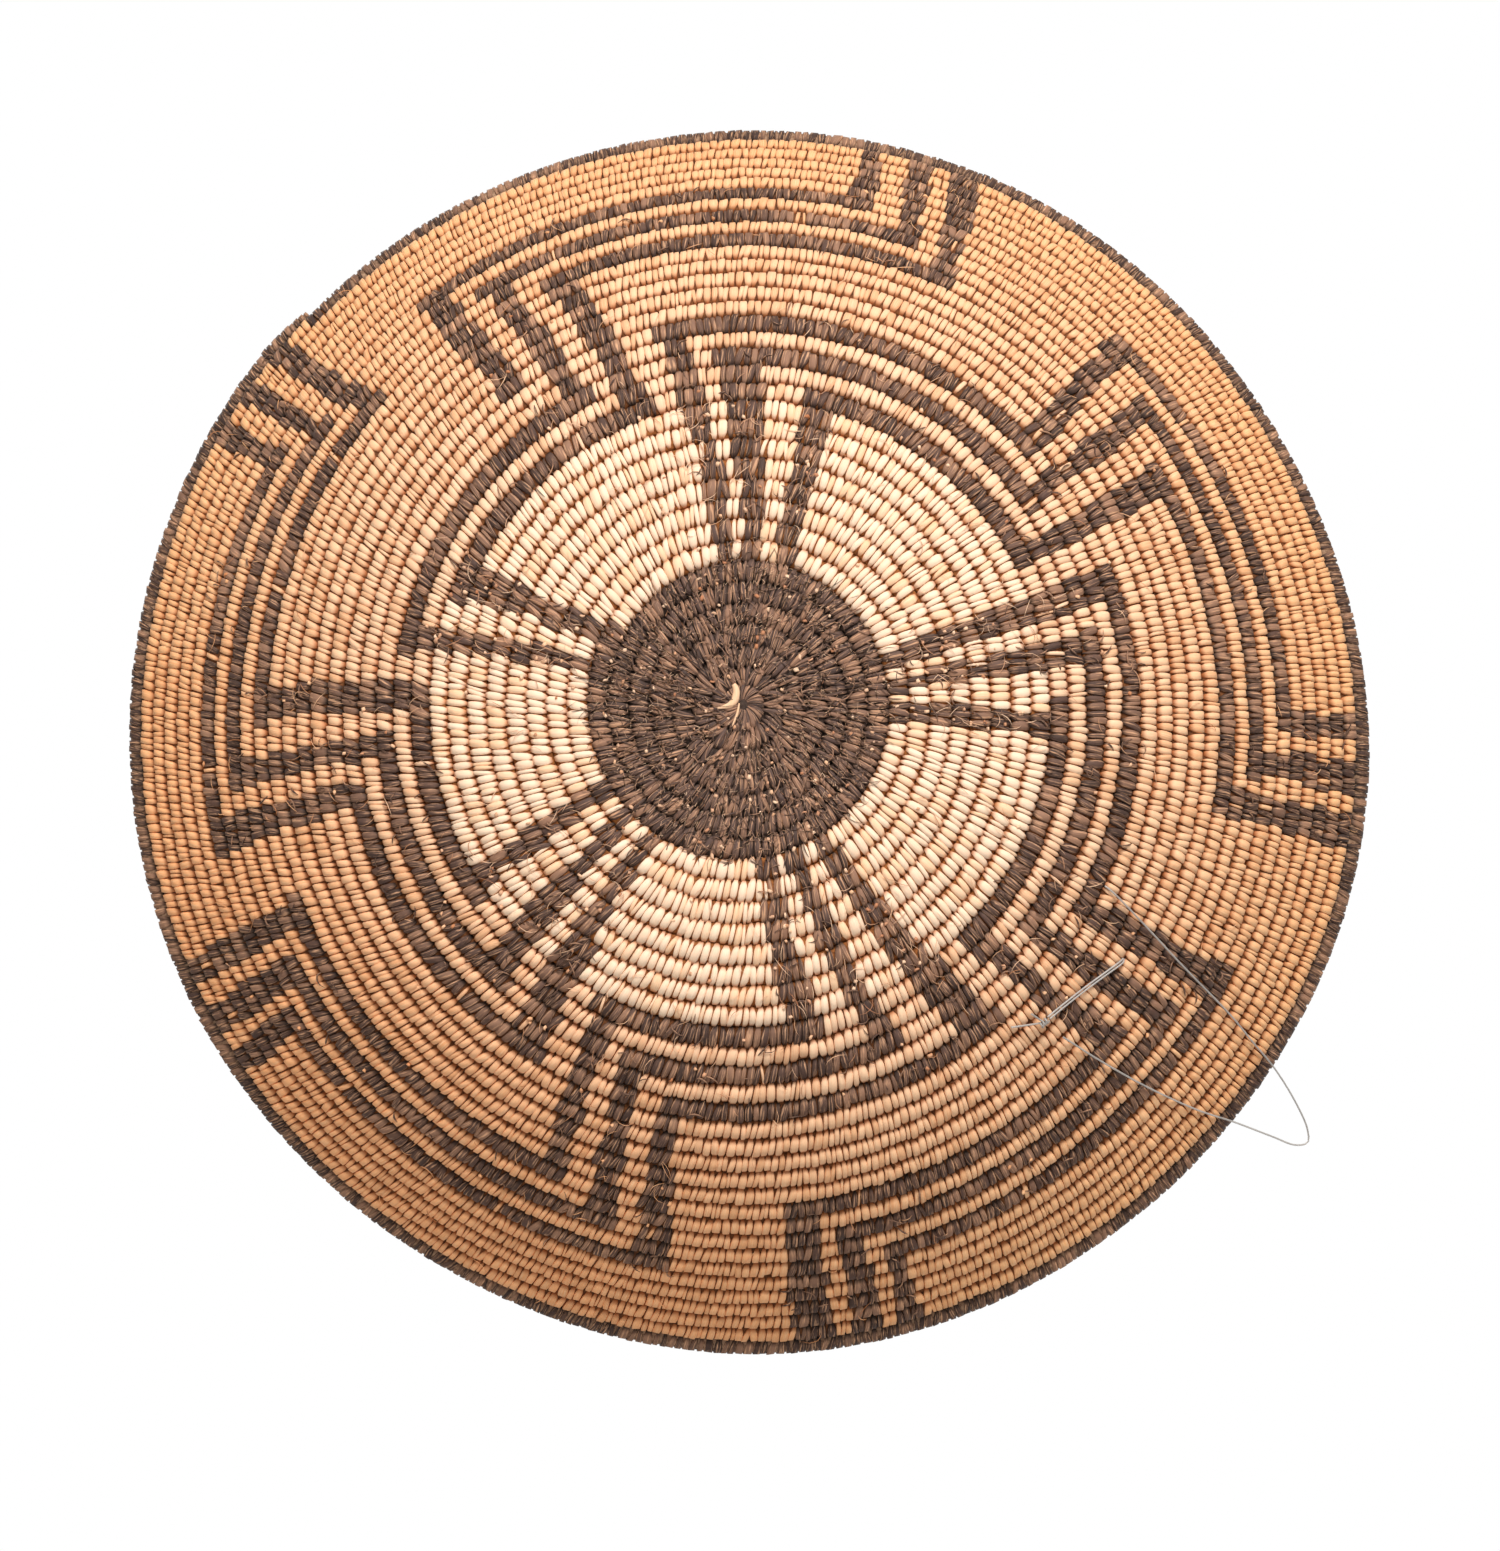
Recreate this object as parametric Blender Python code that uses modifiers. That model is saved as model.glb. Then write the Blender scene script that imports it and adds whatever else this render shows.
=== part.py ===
"""A round, shallow coiled basket bowl with a nylon hanging loop.

The bowl stands on its flat start and opens upwards, with the origin at the middle of its footprint.
One round coil winds outwards from a start knot, turn upon turn, and climbs to the rim. Its sewing
changes colour or batch along the way, and each stretch between two changes is a piece of its own.
Places on the wall are given by a bearing in degrees and by rounds of the coil counted from the middle.
Lengths are in metres.
"""

import bisect
import math

import bmesh
import bpy
from mathutils import Vector

# The bowl: the middle surface of its wall runs flat, then along one Bezier curve up to the rim
FLAT_RADIUS = 0.041
RIM_RADIUS = 0.1792
RIM_RISE = 0.0845
RIM_SLOPE = math.radians(47.5)
FLAT_HANDLE_SHARE = 0.48
RIM_HANDLE_SHARE = 0.30

# The bowl is a little out of round: shares of the radius by harmonic, at the base and growing to the rim
BASE_OVAL_SHARE = 0.0146
RIM_WAVE_SHARES = ((2, -0.0179, -0.0046), (4, 0.0019, 0.0012), (5, -0.0020, 0.0019))
WAVE_GROWTH_POWER = 1.5
WALL_STEPS = 400

# The coil
COIL_ROUNDS = 35.8715
COIL_START_ROUND = 0.45
LEAD_SHARE = 0.75
PITCH_TAPER_SHARE = 0.028
ROUND_GAP = 0.00065
COIL_SIDES = 6
LEAST_TUBE_SIDES = 4
POINTS_PER_ROUND = 20
TAIL_START_ROUND = 35.858
TAIL_POINTS = 3
TAIL_END_SHARE = 0.3
TAIL_POWER = 1.6

# The start knot
KNOT_RADIUS = 0.0053
KNOT_HEIGHT = 0.0056
KNOT_STEPS = 20
KNOT_PROFILE_SHARES = ((0.0, 1.0), (0.5, 0.95), (0.86, 0.74), (1.0, 0.42), (0.94, 0.15), (0.8, 0.0), (0.0, 0.0))

# The nylon line of the hanging loop
LINE_DIAMETER = 0.00055
LINE_POINT_STEP = 0.0023
LINE_SIDES = 8
ROUTE_STEPS = 12
LINE_KNOT_LENGTH = 0.0034
LINE_KNOT_WIDTH = 0.0022
LINE_KNOT_SEGMENTS = 16
LINE_KNOT_RINGS = 10
STRAND_SPREAD = 0.0009
TAIL_BITE = 0.0006

# Fits
PIECE_GAP = 0.0003
FLAT_DEPTH = 0.0005
CUT_OVERRUN = 0.02
WELD_DISTANCE = 0.000001

# Stretches of the coil: first and last round, colour
COIL_PIECES = (
    ("base_coil", COIL_START_ROUND, 6.825, (0.060, 0.042, 0.034)),
    ("field_coil", 6.825, 14.825, (0.80, 0.60, 0.38)),
    ("lower_wall_coil", 14.825, 24.825, (0.73, 0.46, 0.23)),
    ("upper_wall_coil", 24.825, 34.875, (0.66, 0.37, 0.16)),
    ("rim_coil", 34.875, COIL_ROUNDS, (0.050, 0.035, 0.030)),
)
PIECES_CUT_FLAT = ("base_coil", "field_coil")
LINE_COLOUR = (0.62, 0.62, 0.60)
KNOT_COLOUR = (0.07, 0.05, 0.04)
FIBRE_ROUGHNESS = 0.7
LINE_ROUGHNESS = 0.25
LINE_TRANSMISSION = 0.4
SHARP_ANGLE = math.radians(50)

# Routes of the line: bearing in degrees, rounds from the middle, lift (0 in a groove, 1 on the coil's crowns)
LOOP_ROUTE = (
    (116.0, 20.07, 0.0), (116.2, 20.35, 1.0), (117.3, 21.9, 1.5), (119.7, 26.4, 1.3), (121.2, 31.1, 1.2),
    (122.0, 33.3, 1.2), (122.8, 35.8, 1.5), (124.1, 38.6, 1.8), (125.3, 40.6, 1.8), (126.1, 41.2, 1.8),
    (126.9, 40.6, 1.8), (127.7, 38.7, 1.8), (129.0, 35.8, 1.5), (130.5, 33.2, 1.2), (132.5, 29.2, 1.2),
    (134.2, 25.7, 1.3), (135.6, 22.9, 1.6),
)
KNOT_PLACE = (136.2, 21.4, 2.2)
STRAND_ROUTE = ((135.3, 21.45, 1.8), (132.5, 21.7, 1.3), (129.5, 22.0, 1.2), (126.0, 22.5, 1.1), (123.4, 22.95, 1.0))
STRAND_ENTRY = (123.0, 23.092, 0.0)
TAIL_ENDS = ((136.7, 20.5, 2.4), (140.0, 20.4, 1.5))


def bezier_point(share):
    """Radius and height of the wall's middle surface at a share of its curved stretch."""
    reach = RIM_RADIUS - FLAT_RADIUS
    handle = reach * RIM_HANDLE_SHARE
    places = (
        (FLAT_RADIUS, 0),
        (FLAT_RADIUS + reach * FLAT_HANDLE_SHARE, 0),
        (RIM_RADIUS - handle * math.cos(RIM_SLOPE), RIM_RISE - handle * math.sin(RIM_SLOPE)),
        (RIM_RADIUS, RIM_RISE),
    )
    rest = 1 - share
    weights = (rest**3, 3 * rest**2 * share, 3 * rest * share**2, share**3)
    radius = sum(weight * place[0] for weight, place in zip(weights, places))
    height = sum(weight * place[1] for weight, place in zip(weights, places))
    return radius, height


def wall_table():
    """Length along the wall, radius and height at many places from the middle to the rim."""
    table = [(0, 0, 0)]
    for step in range(WALL_STEPS + 1):
        radius, height = bezier_point(step / WALL_STEPS)
        length, last_radius, last_height = table[-1]
        length += math.hypot(radius - last_radius, height - last_height)
        table.append((length, radius, height))
    return table


WALL = wall_table()
WALL_LENGTHS = [row[0] for row in WALL]
WALL_LENGTH = WALL_LENGTHS[-1]


def wall_at(length):
    """Radius, height and slope of the middle surface this far along the wall, straight on past the rim."""
    after = min(max(bisect.bisect_right(WALL_LENGTHS, length), 1), len(WALL) - 1)
    start, end = WALL[after - 1], WALL[after]
    share = (length - start[0]) / (end[0] - start[0])
    slope = math.atan2(end[2] - start[2], end[1] - start[1])
    return start[1] + (end[1] - start[1]) * share, start[2] + (end[2] - start[2]) * share, slope


def length_at(turns):
    """Length along the wall that this many pitches take up; the pitch falls slightly towards the rim."""
    share = turns / (COIL_ROUNDS + LEAD_SHARE)
    if share > 1:
        return WALL_LENGTH * (1 + (share - 1) * (1 - PITCH_TAPER_SHARE))
    return WALL_LENGTH * share * (1 + PITCH_TAPER_SHARE * (1 - share))


def outer_edge(rounds):
    return length_at(rounds + LEAD_SHARE)


def inner_edge(rounds):
    return max(KNOT_RADIUS, outer_edge(rounds - 1)) + ROUND_GAP


def tail_thinning(rounds):
    """Share of its width that the coil keeps where it thins out at its end."""
    past = max(0, (rounds - TAIL_START_ROUND) / (COIL_ROUNDS - TAIL_START_ROUND))
    return 1 - (1 - TAIL_END_SHARE) * past**TAIL_POWER


def corner_radius(half_width):
    """Distance from the coil's centre to its corners, when its flats touch both edges."""
    return half_width / math.cos(math.pi / COIL_SIDES)


BASE_RADIUS = corner_radius((outer_edge(1) - inner_edge(1)) / 2)
BASE_HEIGHT = BASE_RADIUS - FLAT_DEPTH


def out_of_round(bearing, height):
    growth = max(0, height / RIM_RISE) ** WAVE_GROWTH_POWER
    waves = sum(
        cosine * math.cos(count * bearing) + sine * math.sin(count * bearing)
        for count, cosine, sine in RIM_WAVE_SHARES
    )
    return 1 + BASE_OVAL_SHARE * math.cos(2 * bearing) + growth * waves


def wall_place(bearing, length, lift=0):
    """A point on the wall's middle surface, moved off its outer side by the lift."""
    radius, height, slope = wall_at(length)
    radius = radius * out_of_round(bearing, height) + lift * math.sin(slope)
    height = height + BASE_HEIGHT - lift * math.cos(slope)
    return Vector((radius * math.sin(bearing), -radius * math.cos(bearing), height))


def coil_section(rounds):
    """Centre, half width and slope of the coil at this many rounds."""
    inner = inner_edge(rounds)
    half_width = (outer_edge(rounds) - inner) / 2 * tail_thinning(rounds)
    length = inner + half_width
    return wall_place(2 * math.pi * rounds, length), half_width, wall_at(length)[2]


def chord_section(rounds):
    """The section halfway along the straight run between two points of the coil."""
    first = math.floor(rounds * POINTS_PER_ROUND)
    share = rounds * POINTS_PER_ROUND - first
    start, end = coil_section(first / POINTS_PER_ROUND), coil_section((first + 1) / POINTS_PER_ROUND)
    middle = start[0].lerp(end[0], share)
    half_width = start[1] + (end[1] - start[1]) * share
    slope = start[2] + (end[2] - start[2]) * share
    run = (end[0] - start[0]).normalized()
    return middle, half_width, slope, run


def coil_sections(first_round, last_round):
    """Sections along one stretch of the coil, short of its neighbours by half a gap at each end."""
    steps = range(math.floor(first_round * POINTS_PER_ROUND) + 1, math.ceil(last_round * POINTS_PER_ROUND))
    sections = [coil_section(step / POINTS_PER_ROUND) for step in steps]
    if first_round > COIL_START_ROUND:
        middle, half_width, slope, run = chord_section(first_round)
        sections.insert(0, (middle + run * PIECE_GAP / 2, half_width, slope))
    else:
        sections.insert(0, coil_section(first_round))
    if last_round < COIL_ROUNDS:
        middle, half_width, slope, run = chord_section(last_round)
        sections.append((middle - run * PIECE_GAP / 2, half_width, slope))
    else:
        thinning = COIL_ROUNDS - TAIL_START_ROUND
        sections += [coil_section(TAIL_START_ROUND + thinning * i / TAIL_POINTS) for i in range(TAIL_POINTS + 1)]
    return sections


def least_gap(sections):
    """Least distance between neighbouring rounds, measured from each point to the straight runs beside it."""
    least = math.inf
    reach = POINTS_PER_ROUND // 2
    for i, (centre, half_width, _) in enumerate(sections):
        for (start, start_half, _), (end, end_half, _) in zip(sections[i + reach :], sections[i + reach + 1 :]):
            run = end - start
            share = min(1, max(0, (centre - start).dot(run) / run.length_squared))
            distance = (centre - start - run * share).length
            least = min(least, distance - half_width - start_half - (end_half - start_half) * share)
    return least


def new_collection(name):
    collection = bpy.data.collections.new(name)
    bpy.context.scene.collection.children.link(collection)
    return collection


def new_material(name, colour, roughness, transmission=0):
    material = bpy.data.materials.new(name)
    material.use_nodes = True
    shader = material.node_tree.nodes["Principled BSDF"]
    shader.inputs["Base Color"].default_value = (*colour, 1)
    shader.inputs["Roughness"].default_value = roughness
    shader.inputs["Transmission Weight"].default_value = transmission
    return material


def add_object(name, data, collection, parent, material):
    piece = bpy.data.objects.new(name, data)
    collection.objects.link(piece)
    piece.parent = parent
    data.materials.append(material)
    return piece


def tube_curve(name, places, radii, tilts, sides):
    """A tube with filled caps along a chain of points."""
    curve = bpy.data.curves.new(name, "CURVE")
    curve.dimensions = "3D"
    curve.twist_mode = "Z_UP"
    curve.bevel_depth = max(radii)
    curve.bevel_resolution = (sides - LEAST_TUBE_SIDES) // 2
    curve.use_fill_caps = True
    spline = curve.splines.new("POLY")
    spline.points.add(len(places) - 1)
    for point, place, radius, tilt in zip(spline.points, places, radii, tilts):
        point.co = (*place, 1)
        point.radius = radius / curve.bevel_depth
        point.tilt = tilt
    return curve


def made_mesh(piece, collection):
    """The piece's curve made a mesh, with its caps welded on."""
    graph = bpy.context.evaluated_depsgraph_get()
    mesh = bpy.data.meshes.new_from_object(piece.evaluated_get(graph))
    welded = bmesh.new()
    welded.from_mesh(mesh)
    bmesh.ops.remove_doubles(welded, verts=welded.verts, dist=WELD_DISTANCE)
    bmesh.ops.recalc_face_normals(welded, faces=welded.faces)
    welded.to_mesh(mesh)
    welded.free()
    mesh.shade_smooth()
    mesh.set_sharp_from_angle(angle=SHARP_ANGLE)
    name, parent, place = piece.name, piece.parent, piece.matrix_world.copy()
    bpy.data.objects.remove(piece)
    solid = bpy.data.objects.new(name, mesh)
    collection.objects.link(solid)
    solid.parent = parent
    solid.matrix_world = place
    return solid


def coil_piece(name, first_round, last_round, colour, collection, parent):
    sections = coil_sections(first_round, last_round)
    places = [section[0] for section in sections]
    radii = [corner_radius(section[1]) for section in sections]
    tilts = [math.pi / COIL_SIDES - section[2] for section in sections]
    curve = tube_curve(name, places, radii, tilts, COIL_SIDES)
    piece = add_object(name, curve, collection, parent, new_material(name, colour, FIBRE_ROUGHNESS))
    print(f"{name}: {last_round - first_round:.2f} rounds, least gap {least_gap(sections) * 1000:.2f} mm")
    return piece


def placed_object(name, collection, parent):
    """The object just added, named and moved to its collection and parent."""
    added = bpy.context.object
    added.name = name
    for owner in list(added.users_collection):
        owner.objects.unlink(added)
    collection.objects.link(added)
    added.parent = parent
    return added


def floor_cutter(collection, parent):
    """A slab under the bowl, which cuts the coil flat where it stands."""
    bpy.ops.mesh.primitive_cube_add(size=1)
    cutter = placed_object("floor_cutter", collection, parent)
    cutter.scale = (2 * RIM_RADIUS, 2 * RIM_RADIUS, CUT_OVERRUN)
    cutter.location = (0, 0, -CUT_OVERRUN / 2)
    cutter.hide_render = True
    cutter.display_type = "WIRE"
    return cutter


def cut_flat(piece, cutter):
    cut = piece.modifiers.new("flat_base", "BOOLEAN")
    cut.operation = "DIFFERENCE"
    cut.solver = "EXACT"
    cut.object = cutter


def start_knot(collection, parent):
    """The domed beginning of the coil, turned from its outline."""
    mesh = bpy.data.meshes.new("start_knot")
    outline = [(KNOT_RADIUS * across, 0, KNOT_HEIGHT * up) for across, up in KNOT_PROFILE_SHARES]
    mesh.from_pydata(outline, [(i, i + 1) for i in range(len(outline) - 1)], [])
    piece = add_object("start_knot", mesh, collection, parent, new_material("start_knot", KNOT_COLOUR, FIBRE_ROUGHNESS))
    turn = piece.modifiers.new("turn", "SCREW")
    turn.steps = KNOT_STEPS
    turn.render_steps = KNOT_STEPS
    turn.use_merge_vertices = True
    turn.merge_threshold = WELD_DISTANCE
    turn.use_smooth_shade = True
    return piece


def line_place(route_point, spread=0):
    """A route point of the line in space, moved sideways along the wall by the spread."""
    degrees, turns, lift_share = route_point
    length = length_at(turns)
    crown = BASE_RADIUS + PIECE_GAP + LINE_DIAMETER / 2
    groove = BASE_RADIUS / 2 + PIECE_GAP + LINE_DIAMETER / 2
    lift = groove + (crown - groove) * lift_share
    return wall_place(math.radians(degrees), length + spread, lift)


def smooth_route(places, spacing):
    """Points at even steps along a smooth curve through the route's places."""
    ends = [places[0] * 2 - places[1], *places, places[-1] * 2 - places[-2]]
    fine = []
    for before, start, end, after in zip(ends, ends[1:], ends[2:], ends[3:]):
        knots = [0.0]
        for a, b in ((before, start), (start, end), (end, after)):
            knots.append(knots[-1] + math.sqrt((b - a).length))
        for step in range(ROUTE_STEPS):
            fine.append(centripetal(knots, (before, start, end, after), step / ROUTE_STEPS))
    fine.append(places[-1])
    lengths = [0.0]
    for a, b in zip(fine, fine[1:]):
        lengths.append(lengths[-1] + (b - a).length)
    count = max(3, round(lengths[-1] / spacing))
    return [place_along(fine, lengths, lengths[-1] * i / count) for i in range(count + 1)]


def centripetal(knots, places, share):
    """A point between the middle two of four places on a centripetal Catmull-Rom curve."""
    time = knots[1] + (knots[2] - knots[1]) * share
    level = list(places)
    for spans in (((0, 1), (1, 2), (2, 3)), ((0, 2), (1, 3)), ((1, 2),)):
        level = [
            start.lerp(end, (time - knots[low]) / (knots[high] - knots[low]))
            for start, end, (low, high) in zip(level, level[1:], spans)
        ]
    return level[0]


def place_along(places, lengths, length):
    after = min(max(bisect.bisect_right(lengths, length), 1), len(places) - 1)
    share = (length - lengths[after - 1]) / (lengths[after] - lengths[after - 1])
    return places[after - 1].lerp(places[after], share)


def line_piece(name, places, collection, parent):
    """A stretch of the nylon line."""
    radii = [LINE_DIAMETER / 2] * len(places)
    curve = tube_curve(name, places, radii, [0] * len(places), LINE_SIDES)
    material = new_material(name, LINE_COLOUR, LINE_ROUGHNESS, LINE_TRANSMISSION)
    length = sum((b - a).length for a, b in zip(places, places[1:]))
    print(f"{name}: {length * 1000:.0f} mm long")
    return add_object(name, curve, collection, parent, material)


def shortened(places, start_cut, end_cut):
    """A route cut back at its ends, so that a gap is left to what it meets."""
    first = places[0] + (places[1] - places[0]).normalized() * start_cut
    last = places[-1] + (places[-2] - places[-1]).normalized() * end_cut
    return [first, *places[1:-1], last]


def knot_frame():
    """Centre of the loop's knot, and the directions along the double strand and off the wall."""
    centre = line_place(KNOT_PLACE)
    along = (line_place(STRAND_ROUTE[1]) - centre).normalized()
    out = (centre - wall_place(math.radians(KNOT_PLACE[0]), length_at(KNOT_PLACE[1]))).normalized()
    side = along.cross(out).normalized()
    return centre, along, side, side.cross(along)


def loop_knot(collection, parent, cutters):
    """The knot that closes the loop: a small barrel with the line's two cut ends coming out of it."""
    centre, along, side, out = knot_frame()
    material = new_material("loop_knot", LINE_COLOUR, LINE_ROUGHNESS, LINE_TRANSMISSION)
    bpy.ops.mesh.primitive_uv_sphere_add(segments=LINE_KNOT_SEGMENTS, ring_count=LINE_KNOT_RINGS, radius=1)
    knot = placed_object("loop_knot", collection, parent)
    knot.data.materials.append(material)
    knot.data.shade_smooth()
    for vertex in knot.data.vertices:
        x, y, z = vertex.co
        vertex.co = centre + along * x * LINE_KNOT_LENGTH / 2 + (side * y + out * z) * LINE_KNOT_WIDTH / 2
    for number, end in enumerate(TAIL_ENDS):
        tail_end = line_place(end)
        start = centre + (tail_end - centre).normalized() * TAIL_BITE
        radii = [LINE_DIAMETER / 2] * 2
        curve = tube_curve(f"cut_end_{number}", [start, tail_end], radii, [0, 0], LINE_SIDES)
        tail = add_object(f"cut_end_{number}", curve, cutters, parent, material)
        bpy.context.view_layer.update()
        tail = made_mesh(tail, cutters)
        tail.hide_render = True
        tail.display_type = "WIRE"
        join = knot.modifiers.new(tail.name, "BOOLEAN")
        join.operation = "UNION"
        join.solver = "EXACT"
        join.object = tail
    return knot


def hanging_loop(collection, parent):
    """The loop: out of the wall, over the rim and back to the knot."""
    places = smooth_route([line_place(point) for point in LOOP_ROUTE], LINE_POINT_STEP)
    return line_piece("hanging_loop", places, collection, parent)


def anchor_strand(name, side, collection, parent):
    """One of the two strands from the knot to the stitches that hold it."""
    spread = side * STRAND_SPREAD / 2
    route = [line_place(point, spread) for point in STRAND_ROUTE] + [line_place(STRAND_ENTRY, spread / 2)]
    return line_piece(name, smooth_route(route, LINE_POINT_STEP), collection, parent)


def centre_over_footprint(frame, pieces):
    """Moves the whole bowl so that its middle, seen from above, is at the origin."""
    bpy.context.view_layer.update()
    graph = bpy.context.evaluated_depsgraph_get()
    lows, highs = [math.inf, math.inf], [-math.inf, -math.inf]
    for piece in pieces:
        evaluated = piece.evaluated_get(graph)
        mesh = evaluated.to_mesh()
        for vertex in mesh.vertices:
            for axis in (0, 1):
                lows[axis] = min(lows[axis], vertex.co[axis])
                highs[axis] = max(highs[axis], vertex.co[axis])
        evaluated.to_mesh_clear()
    frame.location = (-(lows[0] + highs[0]) / 2, -(lows[1] + highs[1]) / 2, 0)


def main():
    for old in list(bpy.data.objects):
        bpy.data.objects.remove(old)
    basket = new_collection("basket")
    cutters = new_collection("cutters")
    frame = bpy.data.objects.new("basket_frame", None)
    basket.objects.link(frame)
    cutter = floor_cutter(cutters, frame)
    pieces = [start_knot(basket, frame)]
    for name, first_round, last_round, colour in COIL_PIECES:
        piece = coil_piece(name, first_round, last_round, colour, basket, frame)
        bpy.context.view_layer.update()
        if name in PIECES_CUT_FLAT:
            piece = made_mesh(piece, basket)
            cut_flat(piece, cutter)
        pieces.append(piece)
    hanging_loop(basket, frame)
    anchor_strand("anchor_strand_1", 1, basket, frame)
    anchor_strand("anchor_strand_2", -1, basket, frame)
    loop_knot(basket, frame, cutters)
    centre_over_footprint(frame, pieces)


main()
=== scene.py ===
"""A shallow coiled basket bowl: splints sewn round a wound coil, with a nylon loop to hang it by.

The bowl stands on its flat start, mouth up. Places on its wall are given by a bearing in degrees,
clockwise as seen from outside, and by rounds of the coil counted from the middle.
"""

import logging
import math
from collections.abc import Callable
from dataclasses import dataclass, field
from enum import Enum
from functools import partial

import bpy
import numpy as np
from mathutils import Matrix, Vector


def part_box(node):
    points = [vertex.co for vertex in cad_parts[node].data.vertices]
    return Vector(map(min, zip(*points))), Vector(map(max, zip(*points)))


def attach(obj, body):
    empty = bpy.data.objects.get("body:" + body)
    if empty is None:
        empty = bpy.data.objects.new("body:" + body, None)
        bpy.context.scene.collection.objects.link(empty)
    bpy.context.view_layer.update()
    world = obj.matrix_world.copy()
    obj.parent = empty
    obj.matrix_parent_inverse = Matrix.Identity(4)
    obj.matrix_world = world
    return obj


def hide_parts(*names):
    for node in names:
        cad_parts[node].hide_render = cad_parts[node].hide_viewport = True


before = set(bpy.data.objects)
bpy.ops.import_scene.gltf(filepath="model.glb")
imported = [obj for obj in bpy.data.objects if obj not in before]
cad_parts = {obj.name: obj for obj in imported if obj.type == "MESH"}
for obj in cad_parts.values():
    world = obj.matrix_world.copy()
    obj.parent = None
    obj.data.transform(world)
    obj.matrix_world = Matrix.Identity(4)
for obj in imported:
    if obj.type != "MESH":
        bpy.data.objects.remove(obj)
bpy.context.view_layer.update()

LOG = logging.getLogger("basket")
BODY = "root"
FULL_TURN = 2 * math.pi
Pair = tuple[float, float]
Triple = tuple[float, float, float]
Array = np.ndarray
Piece = bpy.types.Object
Material = bpy.types.Material
Socket = bpy.types.NodeSocket


class Splint(Enum):
    """The splints that the weaver sews with, named after the record's slots."""

    PALE = "pale_splint"
    TAN = "tan_splint"
    DARK = "dark_splint"


def part_way(ends: Pair, share: Array) -> Array:
    """A value that lies a share of the way from the first end to the second."""
    return ends[0] + (ends[1] - ends[0]) * share


@dataclass(frozen=True)
class Wall:
    """The middle surface of the bowl's wall: a flat start, then one curve up to the rim."""

    flat_radius: float = 0.041
    rim_radius: float = 0.1792
    rim_rise: float = 0.0845
    rim_slope: float = math.radians(47.5)
    flat_handle_share: float = 0.48
    rim_handle_share: float = 0.30
    base_oval_share: float = 0.0146
    rim_wave_shares: tuple = ((2, -0.0179, -0.0046), (4, 0.0019, 0.0012), (5, -0.0020, 0.0019))
    wave_growth_power: float = 1.5
    base_height: float = 0.0019685
    flat_lift: float = 0.00055
    flat_lift_fade: float = 0.004
    steps: int = 800
    middle: Pair = (0.0, 0.0)

    def table(self) -> tuple[Array, Array, Array]:
        """The wall's profile from the middle to the rim.

        Returns:
            Length along the wall, radius and height.
        """
        reach = self.rim_radius - self.flat_radius
        rim_handle = reach * self.rim_handle_share
        places = np.array([
            (self.flat_radius, 0),
            (self.flat_radius + reach * self.flat_handle_share, 0),
            (self.rim_radius - rim_handle * math.cos(self.rim_slope),
             self.rim_rise - rim_handle * math.sin(self.rim_slope)),
            (self.rim_radius, self.rim_rise),
        ])
        share = np.linspace(0, 1, self.steps + 1)[:, None]
        rest = 1 - share
        weights = (rest**3, 3 * rest**2 * share, 3 * rest * share**2, share**3)
        curve = sum(weight * place for weight, place in zip(weights, places))
        radius, height = np.vstack([(0, 0), curve]).T
        length = np.concatenate([[0], np.cumsum(np.hypot(np.diff(radius), np.diff(height)))])
        return length, radius, height

    @property
    def length(self) -> float:
        """Length of the wall from the middle to the rim's outer edge."""
        return float(self.table()[0][-1])

    def out_of_round(self, bearing: Array, height: Array) -> Array:
        """Share by which the radius changes at a bearing and height.

        Args:
            bearing: Angles in radians.
            height: Heights over the flat start.

        Returns:
            Factors close to one.
        """
        growth = (np.maximum(height, 0) / self.rim_rise) ** self.wave_growth_power
        waves = sum(
            cosine * np.cos(count * bearing) + sine * np.sin(count * bearing)
            for count, cosine, sine in self.rim_wave_shares
        )
        return 1 + self.base_oval_share * np.cos(2 * bearing) + growth * waves

    def place(self, bearing: Array, length: Array, lift: Array) -> Array:
        """Points off the outer side of the wall, in space.

        Args:
            bearing: Angles in radians.
            length: Lengths along the wall from the middle.
            lift: Distances off the middle surface, outwards.

        Returns:
            An array of points, with x, y and z along its last axis.
        """
        lengths, radii, heights = self.table()
        bearing, length, lift = np.broadcast_arrays(bearing, length, lift)
        past = np.maximum(length - lengths[-1], 0)
        radius = np.interp(length, lengths, radii) + past * math.cos(self.rim_slope)
        height = np.interp(length, lengths, heights) + past * math.sin(self.rim_slope)
        middles = (lengths[1:] + lengths[:-1]) / 2
        slope = np.interp(length, middles, np.arctan2(np.diff(heights), np.diff(radii)))
        lift = lift - self.flat_lift * np.exp(-height / self.flat_lift_fade)
        radius = radius * self.out_of_round(bearing, height) + lift * np.sin(slope)
        height = height + self.base_height - lift * np.cos(slope)
        x = self.middle[0] + radius * np.sin(bearing)
        y = self.middle[1] - radius * np.cos(bearing)
        return np.stack([x, y, height], axis=-1)


@dataclass(frozen=True)
class Stretch:
    """A stretch of the coil that one record node stands for, with the number of its light pieces."""

    node: str
    first: float
    last: float
    light: Splint
    pieces: int


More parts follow.
